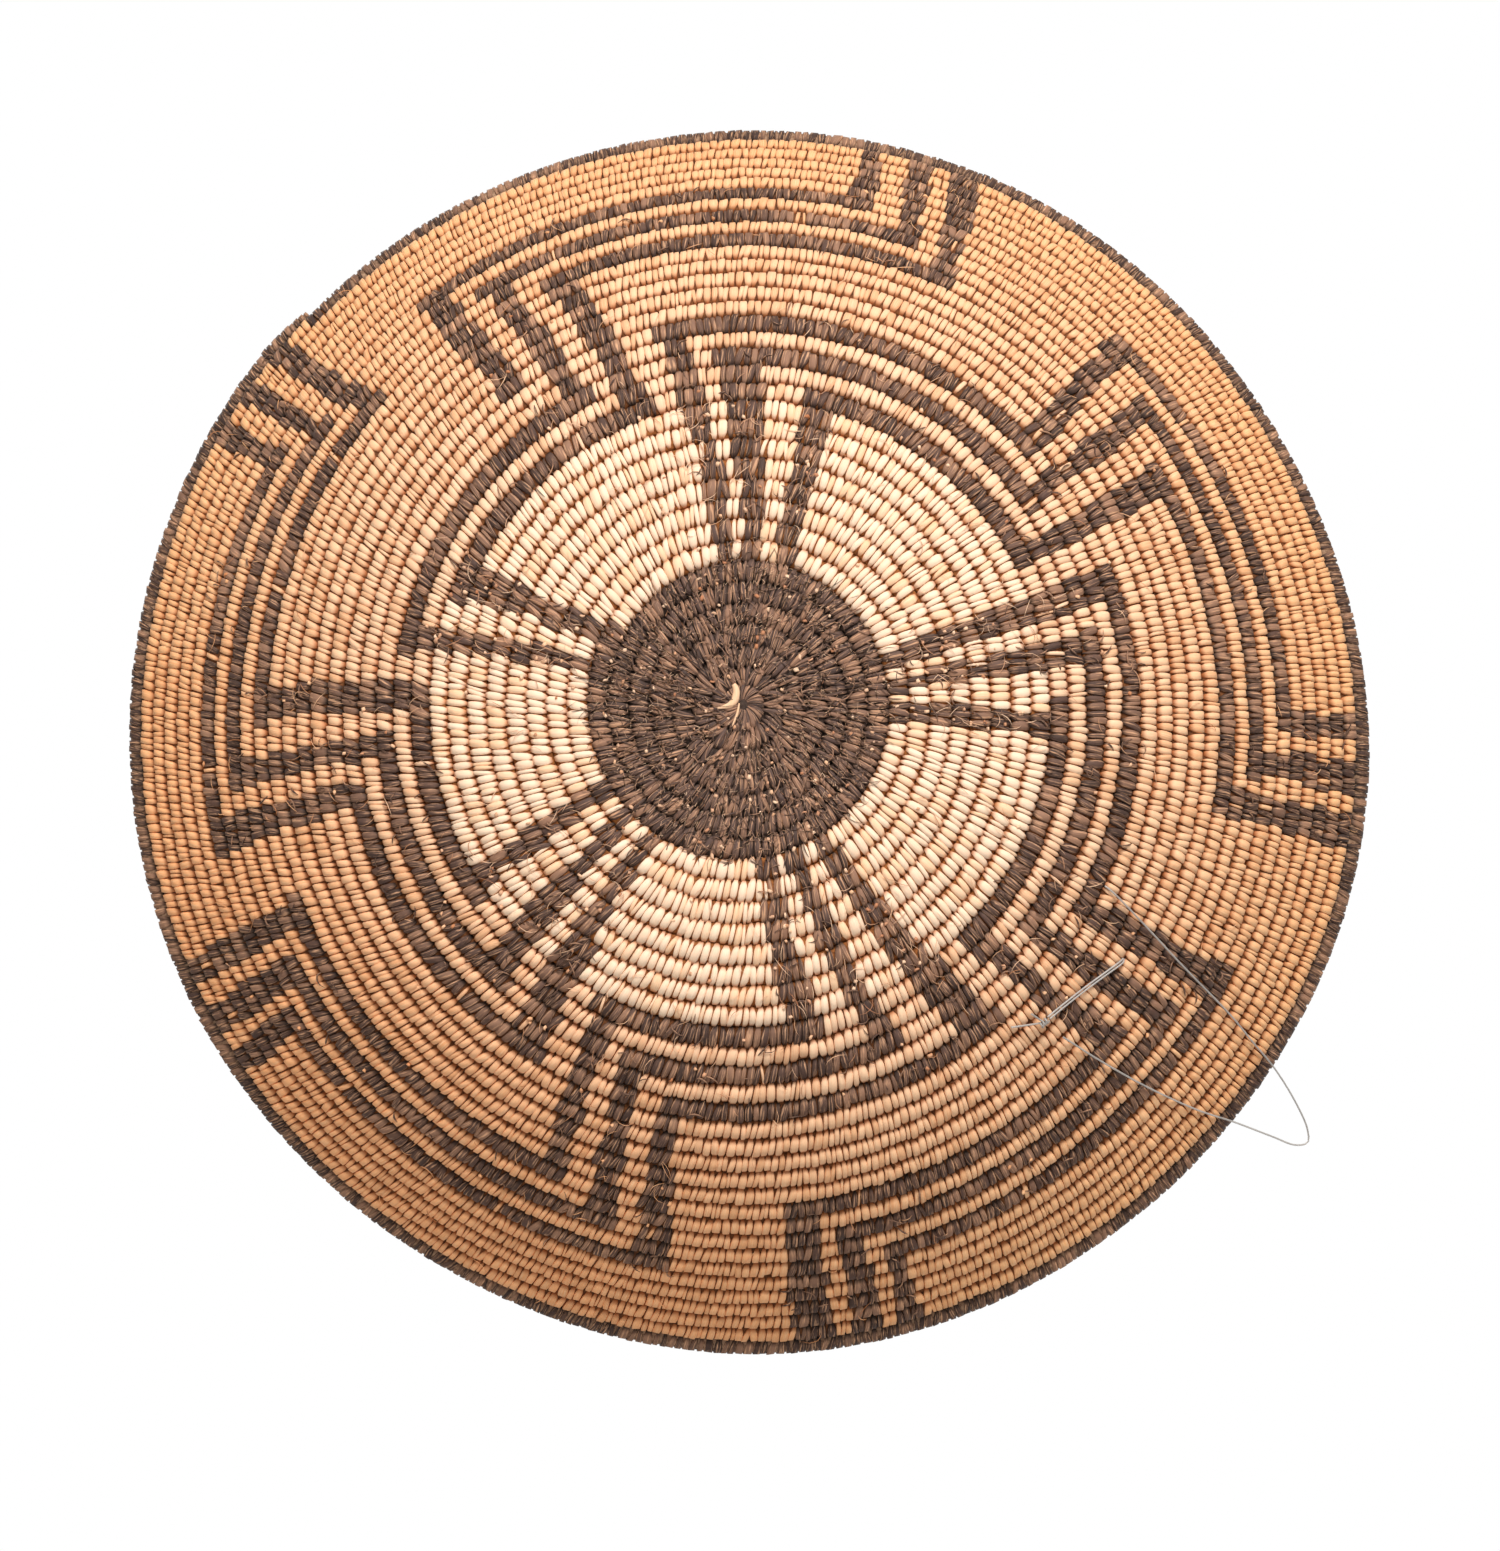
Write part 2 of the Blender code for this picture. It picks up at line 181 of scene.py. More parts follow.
@dataclass(frozen=True)
class Coil:
    """The wound coil: how wide each round is and where it lies along the wall."""

    wall: Wall
    rounds: float = 35.8715
    start_round: float = 0.45
    seams: tuple = (6.825, 14.825, 24.825, 34.875)
    lead_share: float = 0.75
    pitch_taper_share: float = 0.028
    knot_radius: float = 0.0053
    tail_start_round: float = 35.858
    tail_end_share: float = 0.3
    tail_power: float = 1.6
    wanders: tuple = (
        (0.00010, 3.37, 0.4), (0.00009, 7.63, 2.1), (0.00008, 16.81, 4.0), (0.00006, 31.43, 1.3),
    )

    def stretches(self) -> tuple[Stretch, ...]:
        """The coil's stretches, from the middle outwards.

        Returns:
            One stretch for each coil node of the record.
        """
        kinds = (
            ("base_coil", Splint.PALE, 1), ("field_coil", Splint.PALE, 1), ("lower_wall_coil", Splint.TAN, 2),
            ("upper_wall_coil", Splint.TAN, 3), ("rim_coil", Splint.TAN, 1),
        )
        places = (self.start_round, *self.seams, self.rounds)
        return tuple(
            Stretch(node, first, last, light, pieces)
            for (node, light, pieces), first, last in zip(kinds, places, places[1:])
        )

    def length_at(self, turns: Array) -> Array:
        """Length along the wall that this many pitches take up.

        Args:
            turns: Numbers of pitches from the middle.

        Returns:
            The lengths, which go on past the rim in the rim's own pitch.
        """
        share = np.asarray(turns, float) / (self.rounds + self.lead_share)
        inside = self.wall.length * share * (1 + self.pitch_taper_share * (1 - share))
        past = self.wall.length * (1 + (share - 1) * (1 - self.pitch_taper_share))
        return np.where(share > 1, past, inside)

    def outer_edge(self, rounds: Array) -> Array:
        """Outer edge of the coil, with the weaver's small unevenness.

        Args:
            rounds: Places along the coil.

        Returns:
            Lengths along the wall.
        """
        bearing = FULL_TURN * np.asarray(rounds, float)
        wander = sum(size * np.sin(bearing * rate + phase) for size, rate, phase in self.wanders)
        return self.length_at(np.asarray(rounds, float) + self.lead_share) + wander

    def edges(self, rounds: Array) -> tuple[Array, Array]:
        """Inner and outer edge of the coil, as lengths along the wall.

        Args:
            rounds: Places along the coil.

        Returns:
            The inner edges and the outer edges.
        """
        rounds = np.asarray(rounds, float)
        inner = np.maximum(self.knot_radius, self.outer_edge(rounds - 1))
        past = np.maximum(0, (rounds - self.tail_start_round) / (self.rounds - self.tail_start_round))
        kept = 1 - (1 - self.tail_end_share) * past**self.tail_power
        return inner, inner + (self.outer_edge(rounds) - inner) * kept

    def radius_at(self, rounds: Array) -> Array:
        """Distance of the coil's centre from the bowl's axis.

        Args:
            rounds: Places along the coil.

        Returns:
            The distances.
        """
        inner, outer = self.edges(rounds)
        lengths, radii, _ = self.wall.table()
        return np.interp((inner + outer) / 2, lengths, radii)


@dataclass(frozen=True)
class Bars:
    """Dark bars that cross the same rounds, each given by the bearings in degrees where it starts and ends.

    A bar that leans has two such pairs, for its lowest round and for its highest. A bearing below zero
    lies before the bearing at which the rounds are counted.
    """

    first: int
    last: int
    sides: tuple

    def spans(self) -> list[Pair]:
        """The dark stretches of the coil.

        Returns:
            A first and a last place in rounds for each bar on each round.
        """
        found = []
        for number in range(self.first, self.last + 1):
            share = (number - self.first) / max(self.last - self.first, 1)
            for bar in self.sides:
                start, end = (part_way(ends, share) for ends in zip(bar[:2], bar[-2:]))
                found.append((number + start / 360, number + end / 360))
        return found


@dataclass(frozen=True)
class Whirlwind:
    """The dark pattern: five arms of stepped frets that turn out of the disc up to the rim."""

    disc_end: float = 6.84
    rim_start: float = 34.869
    spokes: tuple = (
        Bars(7, 19, ((-9.5, -3.0, -13.0, -9.5), (70.3, 76.0, 67.8, 72.6), (147.0, 153.5, 140.0, 146.0),
                     (212.7, 218.0, 210.5, 216.3))),
        Bars(7, 17, ((1.0, 7.5, -5.0, 2.7), (80.0, 85.3, 77.4, 82.2), (159.0, 164.5, 155.0, 159.3),
                     (223.5, 229.0, 220.8, 225.6))),
        Bars(7, 15, ((12.0, 18.5, 11.0, 17.0), (90.0, 96.5, 91.0, 95.3), (169.0, 175.0, 166.3, 172.5),
                     (235.5, 241.0, 234.3, 239.0))),
        Bars(8, 17, ((-77.7, -72.6, -80.0, -75.6),)),
        Bars(8, 15, ((-66.5, -60.5, -69.0, -62.4),)),
    )
    steps: tuple = (
        Bars(19, 29, ((45.0, 48.3, 43.0, 46.0), (118.5, 122.0, 117.0, 121.2), (189.5, 192.3, 188.4, 192.0),
                      (256.7, 260.0, 256.0, 260.3))),
        Bars(20, 29, ((-37.3, -33.3, -38.3, -35.0),)),
        Bars(17, 27, ((51.6, 55.2, 50.7, 53.4), (126.0, 129.3, 124.0, 127.2), (195.7, 199.2, 195.0, 198.0),
                      (263.0, 266.4, 262.8, 265.8), (-29.5, -26.0, -31.5, -28.5))),
        Bars(15, 25, ((60.0, 64.0, 58.0, 61.5), (133.0, 137.0, 130.0, 133.2), (202.5, 206.7, 201.6, 204.3),
                      (270.0, 275.0, 270.6, 274.2), (-21.3, -17.4, -25.0, -21.6))),
    )
    rim_bars: tuple = (
        Bars(29, 34, ((11.0, 13.8, 10.8, 13.0), (88.8, 91.2), (163.5, 165.6), (235.8, 238.3),
                      (298.7, 300.9))),
        Bars(27, 34, ((17.0, 19.5, 15.7, 18.1), (93.2, 96.2), (167.4, 170.0), (240.0, 243.0),
                      (303.2, 305.5))),
        Bars(25, 34, ((22.5, 25.2, 20.0, 23.0), (98.2, 101.5), (172.0, 175.8), (245.3, 248.0),
                      (308.7, 311.4, 307.5, 310.2))),
    )
    lines: tuple = (
        Bars(15, 15, ((-69.3, -16.0), (11.0, 63.6), (88.8, 138.0), (166.0, 207.0), (233.6, 274.8))),
        Bars(17, 17, ((-81.0, -25.2), (-5.0, 56.0), (77.0, 129.0), (154.0, 199.0), (220.0, 266.7))),
        Bars(19, 19, ((-13.5, 48.5), (67.5, 122.4), (139.8, 191.4), (210.5, 259.8))),
        Bars(25, 25, ((-25.2, 25.5), (57.6, 101.4), (130.0, 175.0), (201.6, 248.7), (269.0, 311.7))),
        Bars(27, 27, ((-32.4, 19.5), (50.0, 97.0), (123.7, 169.8), (194.7, 242.4), (262.7, 306.0))),
        Bars(29, 29, ((-38.3, 13.8), (43.0, 91.2), (117.0, 165.6), (188.2, 238.2), (256.5, 301.2))),
    )
    faded: tuple = (
        Bars(29, 29, ((51.0, 60.0), (281.0, 290.0))),
        Bars(27, 27, ((2.0, 12.0),)),
        Bars(25, 25, ((72.0, 92.0),)),
    )
    rim_width: float = 0.96
    rim_gaps: tuple = (34.8742, 34.8783, 34.8875, 34.8936, 34.9214, 34.9260, 34.9306)
    gap_half: float = 0.0010
    gap_width: float = 0.5

    def within(self, rounds: Array, bars: tuple, spans: tuple = ()) -> Array:
        """Whether places along the coil lie in any of the given bars and spans.

        Args:
            rounds: Places along the coil.
            bars: Sets of bars.
            spans: First and last places besides.

        Returns:
            True where a place lies in one.
        """
        found = np.zeros(rounds.shape, bool)
        for first, last in (*spans, *(span for some in bars for span in some.spans())):
            found |= (rounds >= first) & (rounds < last)
        return found

    def dark(self, rounds: Array) -> Array:
        """Whether the splint at each place along the coil is dark."""
        ends = ((0.0, self.disc_end), (self.rim_start, math.inf))
        return self.within(rounds, (*self.spokes, *self.steps, *self.rim_bars, *self.lines), ends)

    def worn(self, rounds: Array) -> Array:
        """Whether the splint at each place along the coil has faded."""
        return self.within(rounds, self.faded)

    def narrow(self, rounds: Array) -> Array:
        """How narrow each stitch is: the pale bundle shows beside a narrow one at the rim.

        Args:
            rounds: Places along the coil.

        Returns:
            Shares of the usual width.
        """
        share = np.where(rounds > self.rim_start, self.rim_width, 1.0)
        for place in self.rim_gaps:
            share = np.where(np.abs(rounds - place) < self.gap_half, self.gap_width, share)
        return share


class Shading:
    """The nodes of a material or of the world, each added together with what feeds it."""

    def __init__(self, owner: Material | bpy.types.World) -> None:
        """Turns on the nodes of the material or world."""
        owner.use_nodes = True
        self.tree = owner.node_tree

    def feed(self, node: bpy.types.Node, inputs: dict) -> None:
        """Feeds some inputs of a node.

        Args:
            node: The node.
            inputs: A value, or an output of another node, by the input's name or number.
        """
        for name, value in inputs.items():
            if isinstance(value, Socket):
                self.tree.links.new(value, node.inputs[name])
            else:
                node.inputs[name].default_value = value

    def add(self, kind: str, inputs: dict, output: str | int = 0, **settings: str) -> Socket:
        """Adds a node.

        Args:
            kind: Its type, without the word that all shader nodes start with.
            inputs: What feeds it.
            output: The name or number of the wanted output.
            settings: The node's own settings.

        Returns:
            The wanted output.
        """
        node = self.tree.nodes.new("ShaderNode" + kind)
        for name, value in settings.items():
            setattr(node, name, value)
        self.feed(node, inputs)
        return node.outputs[output]

    def finish(self, inputs: dict) -> None:
        """Feeds the surface shader of a material."""
        self.feed(self.tree.nodes["Principled BSDF"], inputs)

    def clouds(self, scale: float, detail: float) -> Socket:
        """Noise on the object's own coordinates."""
        where = self.add("TexCoord", {}, "Object")
        return self.add("TexNoise", {"Vector": where, "Scale": scale, "Detail": detail}, "Fac")

    def ramp(self, value: Socket, stops: tuple) -> Socket:
        """A colour that changes with a value.

        Args:
            value: The value, from nought to one.
            stops: A place and a colour for each stop, two or more.

        Returns:
            The colour.
        """
        node = self.tree.nodes.new("ShaderNodeValToRGB")
        elements = node.color_ramp.elements
        for number, (place, colour) in enumerate(stops):
            stop = elements[number] if number < 2 else elements.new(place)
            stop.position = place
            stop.color = (*colour, 1)
        self.feed(node, {"Fac": value})
        return node.outputs["Color"]

    def scaled(self, value: Socket, span: Pair, share: float) -> Socket:
        """A value stretched smoothly.

        Args:
            value: The value to stretch.
            span: Where the result is nothing, and where it is the whole share.
            share: The most that comes out.

        Returns:
            The stretched value.
        """
        inputs = {"Value": value, "From Min": span[0], "From Max": span[1], "To Max": share}
        return self.add("MapRange", inputs, interpolation_type="SMOOTHSTEP")

    def mixed(self, under: Socket, colour: Triple, share: Socket) -> Socket:
        """A colour laid over another by a share."""
        factor, first, second, result = 0, 6, 7, 2
        return self.add("Mix", {factor: share, first: under, second: (*colour, 1)}, result, data_type="RGBA")


@dataclass(frozen=True)
class Finish:
    """A splint's colours, fibre streaks and sheen, with painted shade in its grooves and painted light on one
    side of the bowl.

    The rows of colours run from the middle of the bowl to its rim. Every colour is linear.
    """

    slot: Splint
    crowns: tuple
    # painted shade: the colour that the groove number lays into the grooves between stitches; low tones also
    # take it, as darker splints
    groove: Triple
    odd: Triple
    streak: Triple
    odd_share: float
    streak_share: float
    groove_shade_share: float = 0.97
    deep_share: float = 0.12
    odd_range: Pair = (0.5, 1.0)
    streak_range: Pair = (0.42, 0.68)
    groove_shade_range: Pair = (0.12, 1.0)
    deep_range: Pair = (0.35, 0.0)
    # painted light: a lighter, warmer orange laid on one side of the bowl, standing in for the light that
    # falls there
    painted_light: Triple = (0, 0, 0)
    painted_light_share: float = 0.0
    painted_light_side: Triple = (-0.66, 0.75, 0)
    painted_light_range: Pair = (0.05, 0.16)
    roughness: float = 0.58
    rough_share: float = 0.16
    rough_range: Pair = (0.3, 0.7)
    specular: float = 0.3
    fibre_waves: float = 1.0
    fibre_count: float = 7.0
    fibre_depth: float = 0.00006
    fibre_detail: float = 4
    fibre_roughness: float = 0.6

    def material(self) -> Material:
        """The finish as a material, which reads the stitches' own attributes and strips.

        Returns:
            A new material.
        """
        made = bpy.data.materials.new(self.slot.value)
        shading = Shading(made)
        strip = shading.add("UVMap", {}, uv_map="strip")
        along = shading.add("Mapping", {"Vector": strip, "Scale": (self.fibre_waves, self.fibre_count, 1)})
        noise = {"Vector": along, "Scale": 1, "Detail": self.fibre_detail, "Roughness": self.fibre_roughness}
        fibres = shading.add("TexNoise", noise, "Fac")
        row, tone, groove = (
            shading.add("Attribute", {}, "Fac", attribute_name=name) for name in ("row", "tone", "groove")
        )
        # how far each point lies towards the side of the bowl that takes the painted light
        place = shading.add("TexCoord", {}, "Object")
        aside = shading.add("VectorMath", {0: place, 1: self.painted_light_side}, "Value", operation="DOT_PRODUCT")
        colour = shading.ramp(row, self.crowns)
        # laid in turn: painted light on one side, darker and odd splints, fibre streaks, then painted shade
        # in the grooves
        for top, value, span, share in (
            (self.painted_light, aside, self.painted_light_range, self.painted_light_share),
            (self.groove, tone, self.deep_range, self.deep_share),
            (self.odd, tone, self.odd_range, self.odd_share),
            (self.streak, fibres, self.streak_range, self.streak_share),
            (self.groove, groove, self.groove_shade_range, self.groove_shade_share),
        ):
            colour = shading.mixed(colour, top, shading.scaled(value, span, share))
        rough = shading.scaled(fibres, self.rough_range, self.rough_share)
        shading.finish({
            "Base Color": colour,
            "Roughness": shading.add("Math", {0: rough, 1: self.roughness}),
            "Specular IOR Level": self.specular,
            "Normal": shading.add("Bump", {"Height": fibres, "Distance": self.fibre_depth}),
        })
        return made


PALE_FINISH = Finish(
    slot=Splint.PALE,
    crowns=((0.0, (0.95, 0.69, 0.495)), (1.0, (0.92, 0.62, 0.385))),
    groove=(0.44, 0.12, 0.018),
    odd=(0.86, 0.47, 0.22),
    streak=(1.0, 0.87, 0.70),
    odd_share=0.65,
    streak_share=0.35,
)
TAN_FINISH = Finish(
    slot=Splint.TAN,
    crowns=((0.4, (0.90, 0.585, 0.38)), (0.72, (0.85, 0.465, 0.24)), (1.0, (0.83, 0.41, 0.168))),
    groove=(0.37, 0.09, 0.015),
    odd=(0.64, 0.27, 0.10),
    streak=(0.98, 0.76, 0.48),
    odd_share=0.55,
    streak_share=0.36,
    # painted light, lighter and warmer, on one side of the bowl
    painted_light=(0.96, 0.42, 0.17),
    painted_light_share=0.75,
)
DARK_FINISH = Finish(
    slot=Splint.DARK,
    crowns=((0.0, (0.108, 0.063, 0.050)), (0.9, (0.086, 0.041, 0.026)), (1.0, (0.052, 0.025, 0.017))),
    groove=(0.014, 0.008, 0.006),
    odd=(0.42, 0.22, 0.13),
    streak=(0.82, 0.45, 0.25),
    odd_share=0.62,
    streak_share=0.72,
    streak_range=(0.49, 0.68),
    deep_share=0.45,
    roughness=0.66,
    fibre_count=2.4,
    fibre_depth=0.00012,
)


@dataclass(frozen=True)
class BundleFinish:
    """The stems of the foundation, which are brown in the wall, amber in the field, dark in the disc."""

    name: str
    dark: Triple
    light: Triple
    stops: Pair = (0.3, 0.75)
    stem_scale: float = 900
    stem_detail: float = 3
    stem_depth: float = 0.0002
    roughness: float = 0.75
    specular: float = 0.2

    def material(self) -> Material:
        """The finish as a material on object coordinates.

        Returns:
            A new material.
        """
        made = bpy.data.materials.new(self.name)
        shading = Shading(made)
        stems = shading.clouds(self.stem_scale, self.stem_detail)
        shading.finish({
            "Base Color": shading.ramp(stems, tuple(zip(self.stops, (self.dark, self.light)))),
            "Roughness": self.roughness,
            "Specular IOR Level": self.specular,
            "Normal": shading.add("Bump", {"Height": stems, "Distance": self.stem_depth}),
        })
        return made


WALL_STEMS = BundleFinish("brown_stems", (0.07, 0.022, 0.007), (0.24, 0.085, 0.025))
DISC_STEMS = BundleFinish("dark_stems", (0.018, 0.011, 0.008), (0.085, 0.052, 0.038))
RIM_STEMS = BundleFinish("pale_stems", (0.16, 0.08, 0.045), (0.42, 0.26, 0.16))
FIELD_STEMS = BundleFinish("amber_stems", (0.12, 0.036, 0.009), (0.40, 0.14, 0.036))


def stand_for(piece: Piece, node: str) -> None:
    """Puts a piece on the bowl's body in the place of a node.

    Args:
        piece: The piece.
        node: The record's node that it stands for.
    """
    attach(piece, BODY)
    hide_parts(node)


def pick(piece: Piece) -> None:
    """Selects one piece alone and makes it the active one.

    Args:
        piece: The piece.
    """
    bpy.ops.object.select_all(action="DESELECT")
    piece.select_set(True)
    bpy.context.view_layer.objects.active = piece


def work_mesh(piece: Piece, *steps: Callable[[], set]) -> None:
    """Runs mesh operators on the whole of a piece, and then turns its faces outwards.

    Args:
        piece: The piece.
        steps: The operators, in order.
    """
    pick(piece)
    bpy.ops.object.mode_set(mode="EDIT")
    bpy.ops.mesh.select_all(action="SELECT")
    for step in steps:
        step()
    bpy.ops.mesh.select_all(action="SELECT")
    bpy.ops.mesh.normals_make_consistent(inside=False)
    bpy.ops.object.mode_set(mode="OBJECT")


def taken_apart(form: Piece) -> tuple[Array, Array]:
    """The points and faces of a form that is laid many times.

    Args:
        form: The form, which is removed.

    Returns:
        Its points, and the point numbers of its faces, sorted so that they come the same each time.
    """
    places = np.array([vertex.co[:] for vertex in form.data.vertices])
    faces = np.array(sorted(polygon.vertices[:] for polygon in form.data.polygons))
    bpy.data.objects.remove(form)
    return places, faces


def new_curve(name: str, routes: list, radius: float, resolution: int, kind: str = "POLY") -> Piece:
    """A round curve with closed ends.

    Args:
        name: The piece's name.
        routes: The points that each of its lines follows.
        radius: Half its thickness.
        resolution: How finely it is rounded.
        kind: The kind of its lines.

    Returns:
        The new piece.
    """
    curve = bpy.data.curves.new(name, "CURVE")
    curve.dimensions = "3D"
    curve.bevel_depth = radius
    curve.bevel_resolution = resolution
    curve.use_fill_caps = True
    for route in routes:
        spline = curve.splines.new(kind)
        spline.points.add(len(route) - 1)
        for point, place in zip(spline.points, route):
            point.co = (*place, 1)
        spline.use_smooth = True
    piece = bpy.data.objects.new(name, curve)
    bpy.context.scene.collection.objects.link(piece)
    return piece


def store_strips(piece: Piece, strips: Array, numbers: dict[str, Array]) -> None:
    """Stores what the splint finishes read.

    Args:
        piece: The piece.
        strips: Places on the splints, along and across, one for each face corner.
        numbers: Numbers for each point, by name.
    """
    layer = piece.data.uv_layers.new(name="strip")
    layer.data.foreach_set("uv", strips.astype(np.float32).ravel())
    for label, values in numbers.items():
        stored = piece.data.attributes.new(label, "FLOAT", "POINT")
        stored.data.foreach_set("value", values.astype(np.float32).ravel())


@dataclass
class Laid:
    """Copies of one form of four-cornered faces, laid on the bowl.

    The points are given by copy, and so are the strips and the numbers that the splint finishes read.
    """

    places: Array
    faces: Array
    strips: Array | None = None
    numbers: dict[str, Array] = field(default_factory=dict)

    def piece(self, name: str, material: Material, node: str, splint: Splint) -> Piece:
        """All the copies as one smooth mesh, which stops at the floor.

        Args:
            name: The piece's name.
            material: Its finish.
            node: The record's node that it stands for.
            splint: The record's slot that its finish comes from. Not used.

        Returns:
            The new piece.
        """
        copies, points = self.places.shape[:2]
        places = self.places.reshape(-1, 3).astype(np.float32)
        places[:, 2] = np.maximum(places[:, 2], 0)
        corners = (self.faces + np.arange(copies)[:, None, None] * points).astype(np.int32).ravel()
        starts = np.arange(0, corners.size, self.faces.shape[1], dtype=np.int32)
        mesh = bpy.data.meshes.new(name)
        mesh.vertices.add(len(places))
        mesh.vertices.foreach_set("co", places.ravel())
        mesh.loops.add(corners.size)
        mesh.loops.foreach_set("vertex_index", corners)
        mesh.polygons.add(starts.size)
        mesh.polygons.foreach_set("loop_start", starts)
        mesh.update(calc_edges=True)
        mesh.shade_smooth()
        mesh.materials.append(material)
        piece = bpy.data.objects.new(name, mesh)
        bpy.context.scene.collection.objects.link(piece)
        stand_for(piece, node)
        if self.strips is not None:
            shape = (copies, points)
            numbers = {label: np.broadcast_to(values, shape) for label, values in self.numbers.items()}
            store_strips(piece, self.strips, numbers)
        return piece


@dataclass
class PhotoCamera:
    """The camera under the bowl, which looks up at its outer side from the photograph's angle."""

    frame_px: tuple[int, int] = (1500, 1551)
    focal_px: float = 5865.0
    distance: float = 1.70
    tilt_x: float = math.radians(1.278)
    tilt_y: float = math.radians(5.156)
    aim: Triple = (0.00076, 0.01098, 0.0845)
    film_height: float = 24.0
    clip: Pair = (0.05, 50)

    def back(self) -> Vector:
        """The direction from the bowl to the camera."""
        x, y = math.sin(self.tilt_x), math.sin(self.tilt_y)
        return Vector((x, y, -math.sqrt(1 - x * x - y * y)))

    def build(self) -> None:
        """Puts up the scene's camera."""
        data = bpy.data.cameras.new("photo_camera")
        data.sensor_fit = "VERTICAL"
        data.sensor_height = self.film_height
        data.lens = self.film_height * self.focal_px / self.frame_px[1]
        data.clip_start, data.clip_end = self.clip
        camera = bpy.data.objects.new("photo_camera", data)
        bpy.context.scene.collection.objects.link(camera)
        back = self.back()
        up = (Vector((0, -1, 0)) - back * -back.y).normalized()
        turn = Matrix((up.cross(back), up, back)).transposed()
        camera.matrix_world = Matrix.Translation(Vector(self.aim) + back * self.distance) @ turn.to_4x4()
        bpy.context.scene.camera = camera


@dataclass
class HangingLoop:
    """The nylon line: a loop over the rim, a knot, and two strands that go back into the wall.

    Route points are a bearing in degrees, rounds from the middle, and a lift: 0 in a groove, 1 on the crowns.
    """

    coil: Coil
    diameter: float = 0.00055
    spacing: float = 0.0015
    lifts: Pair = (0.0018092, 0.0030435)
    strand_spread: float = 0.0009
    knot_length: float = 0.0034
    knot_width: float = 0.0022
    loop_route: tuple = (
        (116.0, 20.07, 0.0), (116.2, 20.35, 1.0), (117.3, 21.9, 1.5), (119.7, 26.4, 1.3), (121.2, 31.1, 1.2),
        (122.0, 33.3, 1.2), (122.8, 35.8, 1.5), (124.1, 38.6, 1.8), (125.3, 40.6, 1.8), (126.1, 41.2, 1.8),
        (126.9, 40.6, 1.8), (127.7, 38.7, 1.8), (129.0, 35.8, 1.5), (130.5, 33.2, 1.2), (132.5, 29.2, 1.2),
        (134.2, 25.7, 1.3), (135.6, 22.9, 1.6),
    )
    knot_place: Triple = (136.2, 21.4, 2.2)
    strand_route: tuple = (
        (135.3, 21.45, 1.8), (132.5, 21.7, 1.3), (129.5, 22.0, 1.2), (126.0, 22.5, 1.1), (123.4, 22.95, 1.0),
    )
    strand_entry: Triple = (123.0, 23.092, 0.0)
    tail_ends: tuple = ((136.7, 20.5, 2.4), (140.0, 20.4, 1.5))
    tail_steps: int = 6
    wraps: tuple = ((-0.5, 2.6, 0.28), (-0.35, 2.2, -0.34))
    wrap_rise: float = 0.85
    wrap_swell: float = 0.18
    wrap_steps: int = 40
    fine_steps: int = 12
    least_steps: int = 4
    line_resolution: int = 3
    knot_resolution: int = 2
    colour: Triple = (0.50, 0.455, 0.41)
    cloud_scale: float = 260
    cloud_detail: float = 2
    cloud_shades: Pair = (0.8, 1.15)
    clearness: float = 0.28
    bending: float = 1.53
    roughness: Pair = (0.22, 0.37)

    def place(self, point: Triple, spread: float = 0) -> Vector:
        """A route point in space.

        Args:
            point: Bearing in degrees, rounds from the middle and share of the lift.
            spread: Distance moved outwards along the wall.

        Returns:
            The point.
        """
        degrees, turns, share = point
        length = float(self.coil.length_at(turns)) + spread
        lift = part_way(self.lifts, share)
        return Vector(self.coil.wall.place(math.radians(degrees), length, lift).tolist())

    def smooth(self, places: list[Vector]) -> list[Vector]:
        """Evenly spaced points on a smooth curve through the places.

        Args:
            places: The route's points.

        Returns:
            Points about one spacing apart, first and last place included.
        """
        ends = [places[0] * 2 - places[1], *places, places[-1] * 2 - places[-2]]
        fine = []
        for four in zip(ends, ends[1:], ends[2:], ends[3:]):
            knots = np.cumsum([0] + [math.sqrt((b - a).length) for a, b in zip(four, four[1:])])
            fine += [self.between(knots, four, step / self.fine_steps) for step in range(self.fine_steps)]
        table = np.array([*fine, places[-1]])
        lengths = np.concatenate([[0], np.cumsum(np.linalg.norm(np.diff(table, axis=0), axis=1))])
        steps = max(self.least_steps, round(lengths[-1] / self.spacing))
        even = np.linspace(0, lengths[-1], steps + 1)
        return [Vector(point) for point in zip(*(np.interp(even, lengths, axis) for axis in table.T))]

    def between(self, knots: Array, four: tuple, share: float) -> Vector:
        """A point between the middle two of four places.

        Args:
            knots: The curve's time at each place.
            four: The four places.
            share: Share of the way from the second place to the third.

        Returns:
            The point.
        """
        time = knots[1] + (knots[2] - knots[1]) * share
        level = list(four)
        for spans in (((0, 1), (1, 2), (2, 3)), ((0, 2), (1, 3)), ((1, 2),)):
            level = [
                start.lerp(end, (time - knots[low]) / (knots[high] - knots[low]))
                for start, end, (low, high) in zip(level, level[1:], spans)
            ]
        return level[0]

    def finish(self) -> Material:
        """Clear nylon, a little milky.

        Returns:
            A new material.
        """
        made = bpy.data.materials.new("nylon_line")
        shading = Shading(made)
        clouds = shading.clouds(self.cloud_scale, self.cloud_detail)
        shades = (tuple(value * shade for value in self.colour) for shade in self.cloud_shades)
        low, high = self.roughness
        shading.finish({
            "Base Color": shading.ramp(clouds, tuple(enumerate(shades))),
            "Roughness": shading.add("MapRange", {"Value": clouds, "To Min": low, "To Max": high}),
            "Alpha": 1 - self.clearness,
            "IOR": self.bending,
        })
        return made

